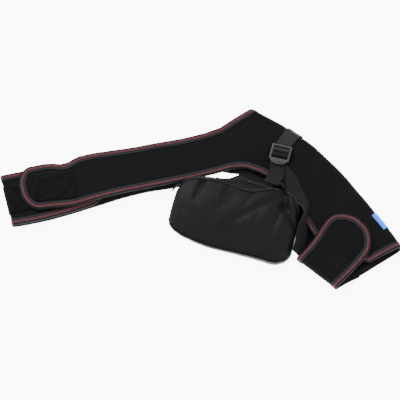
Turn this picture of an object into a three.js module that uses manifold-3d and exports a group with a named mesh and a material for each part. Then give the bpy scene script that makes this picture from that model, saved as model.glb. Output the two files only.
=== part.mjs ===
// A shoulder brace lying flat on a table: a folded neoprene shoulder sleeve with a chest strap loop,
// an arm strap, bound edges, and a zipped nylon pouch held by webbing and a ladder-lock buckle.
// Millimetres, +Z up. The brace rests on z = 0 with its fold to the right and its straps to the left.
import * as THREE from "three";
import { mergeVertices } from "three/addons/utils/BufferGeometryUtils.js";
import Module from "manifold-3d";

const wasm = await Module();
wasm.setup();

// Cloth thicknesses and the gaps between pieces
const neopreneThickness = 3;
const bindingThickness = 0.6;
const bindingReach = 12;
const patchThickness = 1.2;
const webbingThickness = 1.4;
const nylonThickness = 1.2;
const labelThickness = 0.8;
const touchGap = 0.3;
const seamGap = 1.6;
const bindingGap = 0.4;

// Shoulder sleeve, measured along its fold from the neck to the arm hem
const sleeveLength = 414;
const sleeveWidth = 120;
const sleeveHeading = -47.7;
const sleeveFoldRadius = 9;
const sleeveOrigin = new THREE.Vector2(102, 194);
const underarmGap = 3;

// Chest loop: the front strap, and the back strap that turns over at its far end
const chestStrapWidth = 100;
const chestHeading = 194;
const chestSeamAlong = 29;
const chestSeamAcross = 96;
const chestSeamWidth = 94;
const chestBackShift = 5;
const frontStrapLength = 407;
const frontTabTip = 28;
const backStrapReach = 427;
const backStrapReturn = 190;
const backStrapTip = 42;
const backStrapWidth = 112;
const backFoldRadius = 3.6;
const loopGap = 5;

// Arm strap: it leaves the back ply of the sleeve, turns over and closes on the front ply
const armStrapReach = 47;
const armStrapWidth = 100;
const armTabLength = 127;
const armTabTip = 42;
const armFoldRadius = 6.5;
const armTabLift = 6.1;
const armFoldSlant = 5.5;

// Hook and loop patches
const tabPatchWidth = 62;

// Webbing and ladder-lock buckle
const webbingWidth = 30;
const buckleWidth = 39;
const buckleLength = 32;
const buckleRail = 3;
const buckleThickness = 3.4;
const buckleBar = 3.2;
const buckleLip = 9;
const buckleHeading = -105;
const buckleAlong = 0.272;
const buckleAcross = 0.25;
const anchorAlong = 0.232;

// Zipped pouch
const pouchLength = 245;
const pouchWidth = 130;
const pouchDepth = 45;
const pouchHeading = -15;
const pouchOrigin = new THREE.Vector2(64.5, -53);
const pouchBase = 0;
const zipFrom = -0.22;
const zipTo = 0.23;
const zipDown = 0.46;
const pipingRadius = 1.3;
const zipTapeWidth = 12;
const zipCutDepth = 9;
const sliderLength = 10;
const sliderWidth = 8;
const sliderHeight = 4.5;
const pullLength = 22;
const pullWidth = 5;
const pullThickness = 1.6;

// Side label, blank
const sliderLift = 1.1;
const sliderAlong = 0.14;
const labelLength = 38;
const labelPlace = 0.842;

// Heights of the middle of each ply above the table
const bindingHalf = neopreneThickness / 2 + bindingGap + bindingThickness;
const floorPly = bindingHalf;
const loopPly = floorPly + 2 * bindingHalf + loopGap;
const underarmPly = floorPly + 2 * bindingHalf + underarmGap;
const crestPly = floorPly + 2 * sleeveFoldRadius;
const returnPly = floorPly + 2 * backFoldRadius;
const tabPly = returnPly + neopreneThickness + 2 * patchThickness + 3 * touchGap;

// Outline of the sleeve. bow is how far the fold stands out from its chord, as a share of the length.
const FOLD_BOW = [
  { along: 0, bow: 0 },
  { along: 0.05, bow: 0.016 },
  { along: 0.23, bow: 0.058 },
  { along: 0.43, bow: 0.074 },
  { along: 0.67, bow: 0.055 },
  { along: 0.8, bow: 0.037 },
  { along: 0.93, bow: 0.018 },
  { along: 1, bow: 0 },
];

// Underarm edges past the chest seams: distances from the chord as shares of the sleeve width
const UNDERARM = [
  { along: 0.2, front: 0.85, back: 0.94 },
  { along: 0.23, front: 0.78, back: 0.9 },
  { along: 0.29, front: 0.69, back: 0.83 },
  { along: 0.36, front: 0.64, back: 0.78 },
  { along: 0.43, front: 0.635, back: 0.75 },
  { along: 0.51, front: 0.69, back: 0.77 },
  { along: 0.585, front: 0.76, back: 0.83 },
  { along: 0.665, front: 0.84, back: 0.845 },
  { along: 0.75, front: 0.845, back: 0.84 },
  { along: 0.85, front: 0.77, back: 0.83 },
  { along: 0.93, front: 0.67, back: 0.82 },
  { along: 0.97, front: 0.61, back: 0.81 },
  { along: 1, front: 0.54, back: 0.8 },
];
// How far the hem leans towards the neck at its free ends, in millimetres for each millimetre across
const hemLean = { front: 0.28, back: 0.14 };

// Chest straps: sway is the middle's offset to the top, as a share of the strap width
const FRONT_STRAP = [
  { along: 0, sway: 0, width: 0.94, rise: 0 },
  { along: 0.13, sway: -0.04, width: 0.91, rise: 0 },
  { along: 0.325, sway: -0.03, width: 0.93, rise: 0 },
  { along: 0.45, sway: -0.02, width: 0.935, rise: 0.1 },
  { along: 0.56, sway: -0.015, width: 0.965, rise: 0.85 },
  { along: 0.67, sway: -0.02, width: 1, rise: 1 },
  { along: 0.72, sway: -0.045, width: 0.98, rise: 1 },
  { along: 0.77, sway: -0.08, width: 0.93, rise: 1 },
  { along: 0.82, sway: -0.04, width: 0.97, rise: 1 },
  { along: 0.905, sway: 0, width: 0.955, rise: 1 },
  { along: 1, sway: 0.015, width: 0.89, rise: 1 },
];
const BACK_STRAP = [
  { along: 0, sway: 0, width: 0.84 },
  { along: 0.06, sway: 0.05, width: 0.77 },
  { along: 0.12, sway: 0.02, width: 0.79 },
  { along: 0.215, sway: -0.04, width: 0.85 },
  { along: 0.41, sway: 0, width: 0.88 },
  { along: 0.63, sway: -0.045, width: 0.92 },
  { along: 0.78, sway: -0.075, width: 0.97 },
  { along: 0.92, sway: -0.075, width: 1 },
  { along: 1, sway: -0.065, width: 0.99 },
];

// Arm strap. middle is the place along the sleeve, as a share of its length; out is a share of the reach.
const ARM_UNDER = [
  { out: 0, middle: 0.785, width: 1.54 },
  { out: 0.45, middle: 0.805, width: 1.27 },
  { out: 0.85, middle: 0.825, width: 1.04 },
  { out: 1, middle: 0.833, width: 0.96 },
];
const ARM_TAB = [
  { out: 0, middle: 0.833, width: 0.95 },
  { out: 0.25, middle: 0.825, width: 0.98 },
  { out: 0.5, middle: 0.81, width: 1.04 },
  { out: 0.7, middle: 0.8, width: 1.05 },
  { out: 0.85, middle: 0.797, width: 1.02 },
  { out: 1, middle: 0.797, width: 0.98 },
];

// Pouch sections from its left end to its right: along is a share of the length, front, top and back
// are shares of the width, lift and heel are shares of the depth.
const POUCH = [
  { along: -0.5, front: -0.2, top: 0.25, back: 0.24, lift: 0.36, heel: 0.12 },
  { along: -0.47, front: -0.28, top: 0.36, back: 0.38, lift: 0.5, heel: 0.14 },
  { along: -0.41, front: -0.36, top: 0.45, back: 0.5, lift: 0.66, heel: 0.16 },
  { along: -0.3, front: -0.43, top: 0.475, back: 0.61, lift: 0.78, heel: 0.2 },
  { along: -0.18, front: -0.475, top: 0.48, back: 0.62, lift: 0.84, heel: 0.22 },
  { along: -0.13, front: -0.485, top: 0.47, back: 0.67, lift: 0.85, heel: 0.22 },
  { along: -0.04, front: -0.49, top: 0.45, back: 0.785, lift: 0.84, heel: 0.22 },
  { along: 0.05, front: -0.49, top: 0.435, back: 0.76, lift: 0.84, heel: 0.22 },
  { along: 0.12, front: -0.495, top: 0.46, back: 0.725, lift: 0.86, heel: 0.24 },
  { along: 0.2, front: -0.5, top: 0.52, back: 0.66, lift: 0.88, heel: 0.26 },
  { along: 0.3, front: -0.51, top: 0.56, back: 0.55, lift: 0.88, heel: 0.28 },
  { along: 0.38, front: -0.515, top: 0.53, back: 0.45, lift: 0.84, heel: 0.28 },
  { along: 0.44, front: -0.47, top: 0.44, back: 0.34, lift: 0.74, heel: 0.26 },
  { along: 0.48, front: -0.4, top: 0.3, back: 0.2, lift: 0.58, heel: 0.24 },
  { along: 0.5, front: -0.32, top: 0.17, back: 0.12, lift: 0.42, heel: 0.22 },
];

// Slack folds pressed into the front panel: from and to are places on the panel, as shares of the pouch
// length and of the way from its lower edge to its top seam; depth is a share of the pouch depth.
const POUCH_FOLDS = [
  { fromAlong: 0.33, fromUp: 0.96, toAlong: 0.02, toUp: 0.5, depth: 0.13, width: 0.035 },
  { fromAlong: 0.36, fromUp: 0.9, toAlong: 0.3, toUp: 0.2, depth: 0.09, width: 0.03 },
  { fromAlong: 0.36, fromUp: 0.8, toAlong: 0.46, toUp: 0.66, depth: 0.2, width: 0.045 },
  { fromAlong: -0.31, fromUp: 0.97, toAlong: -0.33, toUp: 0.62, depth: 0.12, width: 0.028 },
  { fromAlong: -0.06, fromUp: 0.84, toAlong: -0.16, toUp: 0.45, depth: 0.07, width: 0.05 },
  { fromAlong: 0.42, fromUp: 0.5, toAlong: 0.34, toUp: 0.08, depth: 0.07, width: 0.03 },
];

// Webbing in the sleeve's own frame: along and across are shares of the sleeve's length and width,
// heading is in degrees, onEdge is 0 lying flat and 1 standing, rise is a share of the webbing width
const TAIL_WEBBING = [
  { along: 0.366, across: 0.77, heading: -111, rise: 0.45 },
  { along: 0.35, across: 0.64, heading: -110, rise: 0.25 },
  { along: 0.334, across: 0.53, heading: -108, rise: 0.06 },
];
const LOAD_WEBBING = [
  { along: 0.392, across: 0.44, heading: -92, onEdge: 0, ply: 1 },
  { along: 0.425, across: 0.495, heading: -86, onEdge: 0, ply: 1 },
  { along: 0.465, across: 0.545, heading: -80, onEdge: 0, ply: 1 },
  { along: 0.505, across: 0.595, heading: -80, onEdge: 0.15, ply: 1 },
  { along: 0.546, across: 0.638, heading: -86, onEdge: 0.4, ply: 1 },
  { along: 0.586, across: 0.729, heading: -92, onEdge: 0.8, ply: 1 },
  { along: 0.607, across: 0.82, heading: -95, onEdge: 0.9, ply: 0.95 },
  { along: 0.626, across: 0.917, heading: -96, onEdge: 0.8, ply: 0.45 },
  { along: 0.651, across: 1.017, heading: -98, onEdge: 0.75, ply: 0.1 },
  { along: 0.673, across: 1.117, heading: -103, onEdge: 0.75, ply: 0 },
  { along: 0.692, across: 1.215, heading: -107, onEdge: 0.75, ply: 0 },
  { along: 0.705, across: 1.31, heading: -111, onEdge: 0.75, ply: 0 },
];

// Left zipper pull, out from the pouch's end, in shares of the pouch's length, width and depth
const LEFT_PULL = [
  { along: -0.487, across: 0.356, height: 0.5 },
  { along: -0.512, across: 0.31, height: 0.46 },
  { along: -0.532, across: 0.23, height: 0.4 },
];

// Colours from the cloth, plastic and thread
const finishes = {
  neoprene: { color: 0x16171a, roughness: 0.85, metalness: 0 },
  binding: { color: 0x2b2f30, roughness: 0.8, metalness: 0 },
  pile: { color: 0x121316, roughness: 1, metalness: 0 },
  webbing: { color: 0x2f3033, roughness: 0.75, metalness: 0 },
  nylon: { color: 0x232427, roughness: 0.6, metalness: 0 },
  plastic: { color: 0x3a3b3e, roughness: 0.45, metalness: 0 },
  label: { color: 0x4f8fe6, roughness: 0.7, metalness: 0 },
};
const materials = {};
for (const [name, finish] of Object.entries(finishes)) {
  materials[name] = new THREE.MeshStandardMaterial(finish);
}

const brace = new THREE.Group();

function addPiece(name, geometry, material) {
  const mesh = new THREE.Mesh(geometry, materials[material]);
  mesh.name = name;
  brace.add(mesh);
}

// Smooth curve through a table's column, read at any value of its key
function readTable(rows, key, column, at) {
  const last = rows.length - 1;
  let i = 0;
  while (i < last - 1 && at > rows[i + 1][key]) {
    i += 1;
  }
  const slope = (k) => {
    const before = rows[Math.max(k - 1, 0)];
    const after = rows[Math.min(k + 1, last)];
    return (after[column] - before[column]) / (after[key] - before[key]);
  };
  const step = rows[i + 1][key] - rows[i][key];
  const t = THREE.MathUtils.clamp((at - rows[i][key]) / step, 0, 1);
  const ease = t * t * (3 - 2 * t);
  const start = rows[i][column] + slope(i) * step * t;
  const end = rows[i + 1][column] - slope(i + 1) * step * (1 - t);
  return THREE.MathUtils.lerp(start, end, ease);
}

// A frame on the table: along its heading, and across to its left (side 1) or right (side -1)
function planFrame(origin, heading, side) {
  const angle = THREE.MathUtils.degToRad(heading);
  const along = new THREE.Vector2(Math.cos(angle), Math.sin(angle));
  const across = new THREE.Vector2(-side * along.y, side * along.x);
  return {
    along,
    across,
    at: (u, v) => origin.clone().addScaledVector(along, u).addScaledVector(across, v),
  };
}

const sleeveFrame = planFrame(sleeveOrigin, sleeveHeading, -1);
const chestSeam = sleeveFrame.at(chestSeamAlong, chestSeamAcross);
const frontFrame = planFrame(chestSeam, chestHeading, -1);
const backFrame = planFrame(
  sleeveFrame.at(chestSeamAlong, chestSeamAcross + chestBackShift),
  chestHeading,
  -1,
);
const pouchFrame = planFrame(pouchOrigin, pouchHeading, 1);

function raised(point, z) {
  return new THREE.Vector3(point.x, point.y, z);
}

// Plan point as along and across numbers of the sleeve's frame
function inSleeve(point) {
  const from = point.clone().sub(sleeveOrigin);
  return { along: from.dot(sleeveFrame.along), across: from.dot(sleeveFrame.across) };
}

// Closed solid from a triangle list; turned inside out if its faces point inwards
function closedGeometry(vertices, triangles) {
  let volume = 0;
  for (const [a, b, c] of triangles) {
    volume += vertices[a].clone().cross(vertices[b]).dot(vertices[c]);
  }
  const index = triangles.flatMap(([a, b, c]) => (volume < 0 ? [a, c, b] : [a, b, c]));
  const geometry = new THREE.BufferGeometry().setFromPoints(vertices);
  geometry.setIndex(index);
  return mergeVertices(geometry, 1e-4);
}

// Normals of a grid of points, from its neighbours
function gridNormals(rows) {
  const last = rows.length - 1;
  return rows.map((row, i) =>
    row.map((_, j) => {
      const end = row.length - 1;
      const down = rows[Math.min(i + 1, last)][j].clone().sub(rows[Math.max(i - 1, 0)][j]);
      const right = row[Math.min(j + 1, end)].clone().sub(row[Math.max(j - 1, 0)]);
      return down.cross(right).normalize();
    }),
  );
}

// Cloth of one thickness round a grid of middle points: two faces and the walls between them
function clothGeometry(rows, thickness) {
  const normals = gridNormals(rows);
  const height = rows.length;
  const width = rows[0].length;
  const vertices = [];
  for (const side of [0.5, -0.5]) {
    rows.forEach((row, i) =>
      row.forEach((p, j) => vertices.push(p.clone().addScaledVector(normals[i][j], side * thickness))),
    );
  }
  const upper = (i, j) => i * width + j;
  const lower = (i, j) => height * width + i * width + j;
  const triangles = [];
  const quad = (a, b, c, d) => triangles.push([a, b, c], [a, c, d]);
  for (let i = 0; i < height - 1; i += 1) {
    for (let j = 0; j < width - 1; j += 1) {
      quad(upper(i, j), upper(i + 1, j), upper(i + 1, j + 1), upper(i, j + 1));
      quad(lower(i, j), lower(i, j + 1), lower(i + 1, j + 1), lower(i + 1, j));
    }
    quad(upper(i, 0), lower(i, 0), lower(i + 1, 0), upper(i + 1, 0));
    quad(upper(i, width - 1), upper(i + 1, width - 1), lower(i + 1, width - 1), lower(i, width - 1));
  }
  for (let j = 0; j < width - 1; j += 1) {
    quad(upper(0, j), upper(0, j + 1), lower(0, j + 1), lower(0, j));
    quad(upper(height - 1, j), lower(height - 1, j), lower(height - 1, j + 1), upper(height - 1, j + 1));
  }
  return closedGeometry(vertices, triangles);
}

// Outline of the binding's folded section: in from the edge, and up from the middle of the ply
const BINDING_SECTION = (() => {
  const inner = neopreneThickness / 2 + bindingGap;
  const outer = inner + bindingThickness;
  const back = -(bindingGap + bindingThickness);
  const round = 0.5 * outer;
  return [
    new THREE.Vector2(bindingReach, outer),
    new THREE.Vector2(-bindingGap, outer),
    new THREE.Vector2(back, round),
    new THREE.Vector2(back, -round),
    new THREE.Vector2(-bindingGap, -outer),
    new THREE.Vector2(bindingReach, -outer),
    new THREE.Vector2(bindingReach, -inner),
    new THREE.Vector2(-bindingGap, -inner),
    new THREE.Vector2(-bindingGap, inner),
    new THREE.Vector2(bindingReach, inner),
  ];
})();

// Tape swept along an edge. Each stop has a point, the ply's normal and the lead, which is the way to
// the next point inside the ply. The tape follows the lead, or is mitred where a stop says so.
function edgeTape(stops, section) {
  const count = stops.length;
  const wayIn = (a, b) => {
    const way = b.point.clone().sub(a.point).cross(a.normal.clone().add(b.normal)).normalize();
    return way.dot(a.lead.clone().add(b.lead)) < 0 ? way.negate() : way;
  };
  const vertices = [];
  stops.forEach((stop, i) => {
    const first = wayIn(stops[Math.max(i - 1, 0)], stops[Math.max(i, 1)]);
    const second = wayIn(stops[Math.min(i, count - 2)], stops[Math.min(i + 1, count - 1)]);
    const mitre = first.clone().add(second).divideScalar(1 + first.dot(second));
    const square = first.clone().add(second).normalize();
    const inward = stop.mitred ? mitre : stop.lead.clone().divideScalar(stop.lead.dot(square));
    for (const corner of section) {
      vertices.push(
        stop.point.clone().addScaledVector(inward, corner.x).addScaledVector(stop.normal, corner.y),
      );
    }
  });
  const around = section.length;
  const triangles = [];
  for (let i = 0; i < count - 1; i += 1) {
    for (let j = 0; j < around; j += 1) {
      const a = i * around + j;
      const b = i * around + ((j + 1) % around);
      const c = (i + 1) * around + ((j + 1) % around);
      const d = (i + 1) * around + j;
      triangles.push([a, b, c], [a, c, d]);
    }
  }
  const lastStart = (count - 1) * around;
  for (const [a, b, c] of THREE.ShapeUtils.triangulateShape(section, [])) {
    triangles.push([a, c, b], [lastStart + a, lastStart + b, lastStart + c]);
  }
  return closedGeometry(vertices, triangles);
}

// One side of a grid as stops for a tape: "start", "end" (rows) or "first", "last" (columns)
function gridSide(rows, side, mitred = false) {
  const normals = gridNormals(rows);
  const lastRow = rows.length - 1;
  const lastColumn = rows[0].length - 1;
  const stop = (i, j, innerRow, innerColumn) => ({
    point: rows[i][j],
    normal: normals[i][j],
    lead: rows[innerRow][innerColumn].clone().sub(rows[i][j]).normalize(),
    mitred,
  });
  if (side === "start") {
    return rows[0].map((_, j) => stop(0, j, 1, j));
  }
  if (side === "end") {
    return rows[0].map((_, j) => stop(lastRow, j, lastRow - 1, j));
  }
  return rows.map((_, i) =>
    side === "first" ? stop(i, 0, i, 1) : stop(i, lastColumn, i, lastColumn - 1),
  );
}

// Sides joined end to end; each shared corner is kept once, and mitred
function joinSides(...sides) {
  return sides.reduce((all, side) => [...all.slice(0, -1), { ...side[0], mitred: true }, ...side.slice(1)]);
}

// Half-width of a rounded strap end, as a share, at a distance from its tip
function tipShare(fromTip, tipLength) {
  const inside = Math.min(fromTip / tipLength, 1);
  return Math.sqrt(Math.max(1 - (1 - inside) ** 2, 0));
}

// Places along a strap of unit length that ends in a rounded tip: even steps, then finer ones
function strapStops(steps, tipShareOfLength) {
  const straight = 1 - tipShareOfLength;
  const stops = [];
  for (let i = 0; i < steps; i += 1) {
    stops.push((straight * i) / steps);
  }
  for (const turn of [0, 22, 42, 58, 70, 78]) {
    stops.push(straight + tipShareOfLength * Math.sin(THREE.MathUtils.degToRad(turn)));
  }
  return stops;
}

// Fold of the sleeve and its two edges

function foldPlan(share) {
  const bow = readTable(FOLD_BOW, "along", "bow", share) * sleeveLength;
  return sleeveFrame.at(share * sleeveLength, -bow);
}

const seamAngle = THREE.MathUtils.degToRad(chestHeading - sleeveHeading - 90);
const seamHalf = {
  along: (Math.cos(seamAngle) * chestSeamWidth) / 2,
  across: (-Math.sin(seamAngle) * chestSeamWidth) / 2,
};
// The section number at the lower end of the chest seams
const seamShare = (chestSeamAlong + Math.abs(seamHalf.along)) / sleeveLength;

// An edge of the sleeve: along the chest seam first, then down the underarm to the hem
function sleeveEdge(share, side) {
  const shift = side === "back" ? chestBackShift : 0;
  const middle = sleeveFrame.at(chestSeamAlong, chestSeamAcross + shift);
  if (share <= seamShare) {
    const t = share / seamShare - 0.5;
    return middle.addScaledVector(frontFrame.across, -t * chestSeamWidth);
  }
  const seamEnd = inSleeve(middle.addScaledVector(frontFrame.across, -chestSeamWidth / 2));
  const rows = [
    { along: seamShare, [side]: seamEnd.across / sleeveWidth },
    ...UNDERARM.map((row) => ({ along: Math.max(row.along, seamShare + 0.02), [side]: row[side] })),
  ];
  const across = readTable(rows, "along", side, share) * sleeveWidth;
  const leaning = THREE.MathUtils.smoothstep(share, 0.8, 1);
  return sleeveFrame.at(share * sleeveLength - leaning * hemLean[side] * across, across);
}

// Height of the middle of the front ply, at a share of the way from the edge (0) to the crest (1)
function frontPlyHeight(share, toCrest) {
  const edge = THREE.MathUtils.lerp(loopPly, underarmPly, THREE.MathUtils.smoothstep(share, 0.1, 0.4));
  return edge + (crestPly - edge) * Math.sin((Math.PI / 2) * THREE.MathUtils.clamp(toCrest, 0, 1));
}

// Point on the front ply over a place of the sleeve's frame, lifted by a height
function onFrontPly(along, across, lift) {
  const share = THREE.MathUtils.clamp(along / sleeveLength, 0, 1);
  const bow = readTable(FOLD_BOW, "along", "bow", share) * sleeveLength;
  const edge = inSleeve(sleeveEdge(Math.max(share, seamShare), "front")).across;
  const fromFold = across + bow;
  const toCrest = 1 - (fromFold - sleeveFoldRadius) / (edge + bow - sleeveFoldRadius);
  return raised(sleeveFrame.at(along, across), frontPlyHeight(share, toCrest) + lift);
}

// Point on the rounded fold. turn is 90 degrees at the crest, 0 at the outside and -90 underneath.
function onFold(share, turn, lift) {
  const angle = THREE.MathUtils.degToRad(turn);
  const reach = sleeveFoldRadius + lift;
  const plan = foldPlan(share).addScaledVector(
    sleeveFrame.across,
    sleeveFoldRadius - Math.cos(angle) * reach,
  );
  return raised(plan, floorPly + sleeveFoldRadius + Math.sin(angle) * reach);
}

const sleeveStops = (() => {
  const past = [0.2, 0.24, 0.3, 0.35, 0.41, 0.47, 0.53, 0.59, 0.65, 0.71, 0.77, 0.83, 0.88, 0.925, 0.965, 1];
  return [0, seamShare / 3, (2 * seamShare) / 3, seamShare, ...past.filter((s) => s > seamShare + 0.015)];
})();

// Middle of the folded sleeve: front edge, crest, round the fold, and back along the table
const sleeveRows = sleeveStops.map((share) => {
  const fold = foldPlan(share);
  const front = sleeveEdge(share, "front");
  const back = sleeveEdge(share, "back");
  const row = [];
  const frontSteps = 7;
  const backSteps = 6;
  const foldSteps = 6;
  const frontWay = front.clone().sub(fold);
  const backWay = back.clone().sub(fold);
  const frontStart = sleeveFoldRadius / frontWay.length();
  const backStart = sleeveFoldRadius / backWay.length();
  for (let j = 0; j < frontSteps; j += 1) {
    const toCrest = j / frontSteps;
    const plan = fold.clone().addScaledVector(frontWay, 1 - toCrest * (1 - frontStart));
    row.push(raised(plan, frontPlyHeight(share, toCrest)));
  }
  for (let j = 0; j <= foldSteps; j += 1) {
    const turn = 90 - (180 * j) / foldSteps;
    const angle = THREE.MathUtils.degToRad(turn);
    const way = (turn > 0 ? frontWay : backWay).clone().normalize();
    const plan = fold.clone().addScaledVector(way, sleeveFoldRadius * (1 - Math.cos(angle)));
    row.push(raised(plan, floorPly + sleeveFoldRadius * (1 + Math.sin(angle))));
  }
  for (let j = 1; j <= backSteps; j += 1) {
    const t = j / backSteps;
    row.push(raised(fold.clone().addScaledVector(backWay, THREE.MathUtils.lerp(backStart, 1, t)), floorPly));
  }
  return row;
});
addPiece("shoulder_sleeve", clothGeometry(sleeveRows, neopreneThickness), "neoprene");

// Binding round the neck edge and fold, from one chest seam to the other
addPiece("neck_binding", edgeTape(gridSide(sleeveRows, "start"), BINDING_SECTION), "binding");

// Binding of the front underarm edge, the corner, the hem and the fold's end, as far as the arm strap
const seamRow = 3;
const underarmFront = gridSide(sleeveRows.slice(seamRow), "first");
const hemEdge = gridSide(sleeveRows, "end");
addPiece("sleeve_binding", edgeTape(joinSides(underarmFront, hemEdge), BINDING_SECTION), "binding");

// The back underarm edge is bound from the chest seam to where the arm strap is sewn on
const armSeamShare = 0.59;
const backBound = sleeveStops.filter((share) => share <= armSeamShare).length;
addPiece(
  "underarm_back_binding",
  edgeTape(gridSide(sleeveRows.slice(seamRow, backBound), "last"), BINDING_SECTION),
  "binding",
);

// Front chest strap, from its seam to the rounded tab

function strapPlan(frame, rows, length, nominal, share, across, widthFactor) {
  const sway = readTable(rows, "along", "sway", share) * nominal;
  const half = (readTable(rows, "along", "width", share) * nominal * widthFactor) / 2;
  return frame.at(share * length, sway + across * half);
}

function frontStrapPoint(share, across, lift) {
  const tip = tipShare((1 - share) * frontStrapLength, frontTabTip);
  const start = seamGap / frontStrapLength;
  const along = start + share * (1 - start);
  const rise = readTable(FRONT_STRAP, "along", "rise", share);
  const plan = strapPlan(frontFrame, FRONT_STRAP, frontStrapLength, chestStrapWidth, along, across, tip);
  return raised(plan, THREE.MathUtils.lerp(loopPly, tabPly, rise) + lift);
}

const strapColumns = [-1, -0.7, -0.25, 0.25, 0.7, 1];
const frontStops = strapStops(17, frontTabTip / frontStrapLength);
const frontRows = frontStops.map((share) => strapColumns.map((v) => frontStrapPoint(share, v, 0)));
addPiece("chest_strap_front", clothGeometry(frontRows, neopreneThickness), "neoprene");

// The whole outline of a strap that starts at a seam: one side, the tip, and the other side back.
// The rows of the rounded tip are mitred.
const tipRows = 5;
function strapOutline(rows) {
  const straight = rows.length - tipRows;
  const side = (name) =>
    gridSide(rows, name).map((stop, i) => ({ ...stop, mitred: i >= straight }));
  const tip = gridSide(rows, "end", true);
  return joinSides(side("first"), tip, side("last").reverse());
}
addPiece("chest_front_binding", edgeTape(strapOutline(frontRows), BINDING_SECTION), "binding");

// Back chest strap: along the table, over at the far end, and back to a rounded end under the tab

function backStrapPoint(share, across, z, widthFactor) {
  const start = seamGap / backStrapReach;
  const along = start + share * (1 - start);
  const plan = strapPlan(backFrame, BACK_STRAP, backStrapReach, backStrapWidth, along, across, widthFactor);
  return raised(plan, z);
}

// Lowest stretch, fold and upper stretch as one list of rows, moved off its own middle by a lift
function backStrapRows(columns, lift) {
  const rows = [];
  const lowSteps = 12;
  for (let i = 0; i < lowSteps; i += 1) {
    rows.push(columns.map((v) => backStrapPoint(i / lowSteps, v, floorPly - lift, 1)));
  }
  rows.push(...backFoldRows(columns, lift));
  const back = strapStops(7, backStrapTip / backStrapReturn).slice(1);
  for (const t of back) {
    const share = 1 - (t * backStrapReturn) / backStrapReach;
    const tip = tipShare((1 - t) * backStrapReturn, backStrapTip);
    rows.push(columns.map((v) => backStrapPoint(share, v, returnPly + lift, tip)));
  }
  return rows;
}

function backFoldRows(columns, lift) {
  const rows = [];
  const radius = backFoldRadius + lift;
  for (const turn of [-90, -54, -18, 18, 54, 90]) {
    const angle = THREE.MathUtils.degToRad(turn);
    rows.push(
      columns.map((v) => {
        const point = backStrapPoint(1, v, floorPly + backFoldRadius + radius * Math.sin(angle), 1);
        const out = backFrame.along.clone().multiplyScalar(radius * Math.cos(angle));
        return point.add(raised(out, 0));
      }),
    );
  }
  return rows;
}

const backRows = backStrapRows(strapColumns, 0);
addPiece("chest_strap_back", clothGeometry(backRows, neopreneThickness), "neoprene");
addPiece("chest_back_binding", edgeTape(strapOutline(backRows), BINDING_SECTION), "binding");

// Loop patch on the upper stretch of the back strap; it goes round the fold and stops short of the table
const patchRise = neopreneThickness / 2 + touchGap + patchThickness / 2;
const patchColumns = [-1, -0.5, 0, 0.5, 1].map((v) => (v * tabPatchWidth) / backStrapWidth);
const loopPatchRows = [
  ...backFoldRows(patchColumns, patchRise).slice(2),
  ...[0.2, 0.4, 0.6, 0.8].map((t) => {
    const share = 1 - (t * (backStrapReturn - backStrapTip)) / backStrapReach;
    return patchColumns.map((v) => backStrapPoint(share, v, returnPly + patchRise, 1));
  }),
];
addPiece("loop_patch", clothGeometry(loopPatchRows, patchThickness), "pile");

// Patch on the middle of a strap's grid, from one row to another, on its upper or lower face
function patchOn(rows, fromRow, toRow, side) {
  const normals = gridNormals(rows);
  const up = normals[fromRow][2].z > 0 ? side : -side;
  const cells = [];
  for (let i = fromRow; i <= toRow; i += 1) {
    cells.push([1, 2, 3, 4].map((j) => rows[i][j].clone().addScaledVector(normals[i][j], up * patchRise)));
  }
  return clothGeometry(cells, patchThickness);
}
const frontTipStart = frontRows.length - tipRows;
addPiece("tab_hook_patch", patchOn(frontRows, frontTipStart - 4, frontTipStart - 1, -1), "pile");
addPiece("tab_top_patch", patchOn(frontRows, frontTipStart - 3, frontTipStart - 1, 1), "pile");

// Arm strap: under part from the sleeve's back ply, fold, and tab over the front ply

// Where the strap is sewn to the back ply, across the sleeve at a place along it
function armSeamAcross(along) {
  const edge = inSleeve(sleeveEdge(THREE.MathUtils.clamp(along / sleeveLength, seamShare, 1), "back"));
  return edge.across + seamGap;
}
const armSeam = armSeamAcross(0.785 * sleeveLength);
const armTurn = armSeam + armStrapReach;

function armRows(columns, lift) {
  const rows = [];
  for (const out of [0, 0.33, 0.67]) {
    const middle = readTable(ARM_UNDER, "out", "middle", out) * sleeveLength;
    const half = (readTable(ARM_UNDER, "out", "width", out) * armStrapWidth) / 2;
    rows.push(
      columns.map((v) => {
        const along = middle + v * half;
        const start = armSeamAcross(along);
        const turn = armTurn - armFoldSlant * v;
        return raised(sleeveFrame.at(along, THREE.MathUtils.lerp(start, turn, out)), floorPly - lift);
      }),
    );
  }
  const radius = armFoldRadius + lift;
  for (const turn of [-90, -54, -18, 18, 54, 90]) {
    const angle = THREE.MathUtils.degToRad(turn);
    const across = armTurn + radius * Math.cos(angle);
    const z = floorPly + armFoldRadius + radius * Math.sin(angle);
    rows.push(columns.map((v) => raised(armTabPlan(0, v, across), z)));
  }
  for (const t of strapStops(7, armTabTip / armTabLength).slice(1)) {
    const tip = tipShare((1 - t) * armTabLength, armTabTip);
    rows.push(columns.map((v) => armTabPoint(t, v * tip, lift)));
  }
  return rows;
}

function armTabPlan(out, v, across) {
  const middle = readTable(ARM_TAB, "out", "middle", out) * sleeveLength;
  const half = (readTable(ARM_TAB, "out", "width", out) * armStrapWidth) / 2;
  const slant = armFoldSlant * v * (1 - THREE.MathUtils.smoothstep(out, 0, 0.6));
  return sleeveFrame.at(middle + v * half, across - slant);
}

// Point of the tab, resting on the front ply where that is beneath it
function armTabPoint(out, v, lift) {
  const plan = armTabPlan(out, v, armTurn - out * armTabLength);
  const place = inSleeve(plan);
  const ply = onFrontPly(place.along, place.across, armTabLift + lift).z;
  const folded = floorPly + 2 * armFoldRadius + lift;
  const leaving = THREE.MathUtils.smoothstep(out, 0, 0.3);
  return raised(plan, THREE.MathUtils.lerp(folded, ply, leaving));
}

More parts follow.
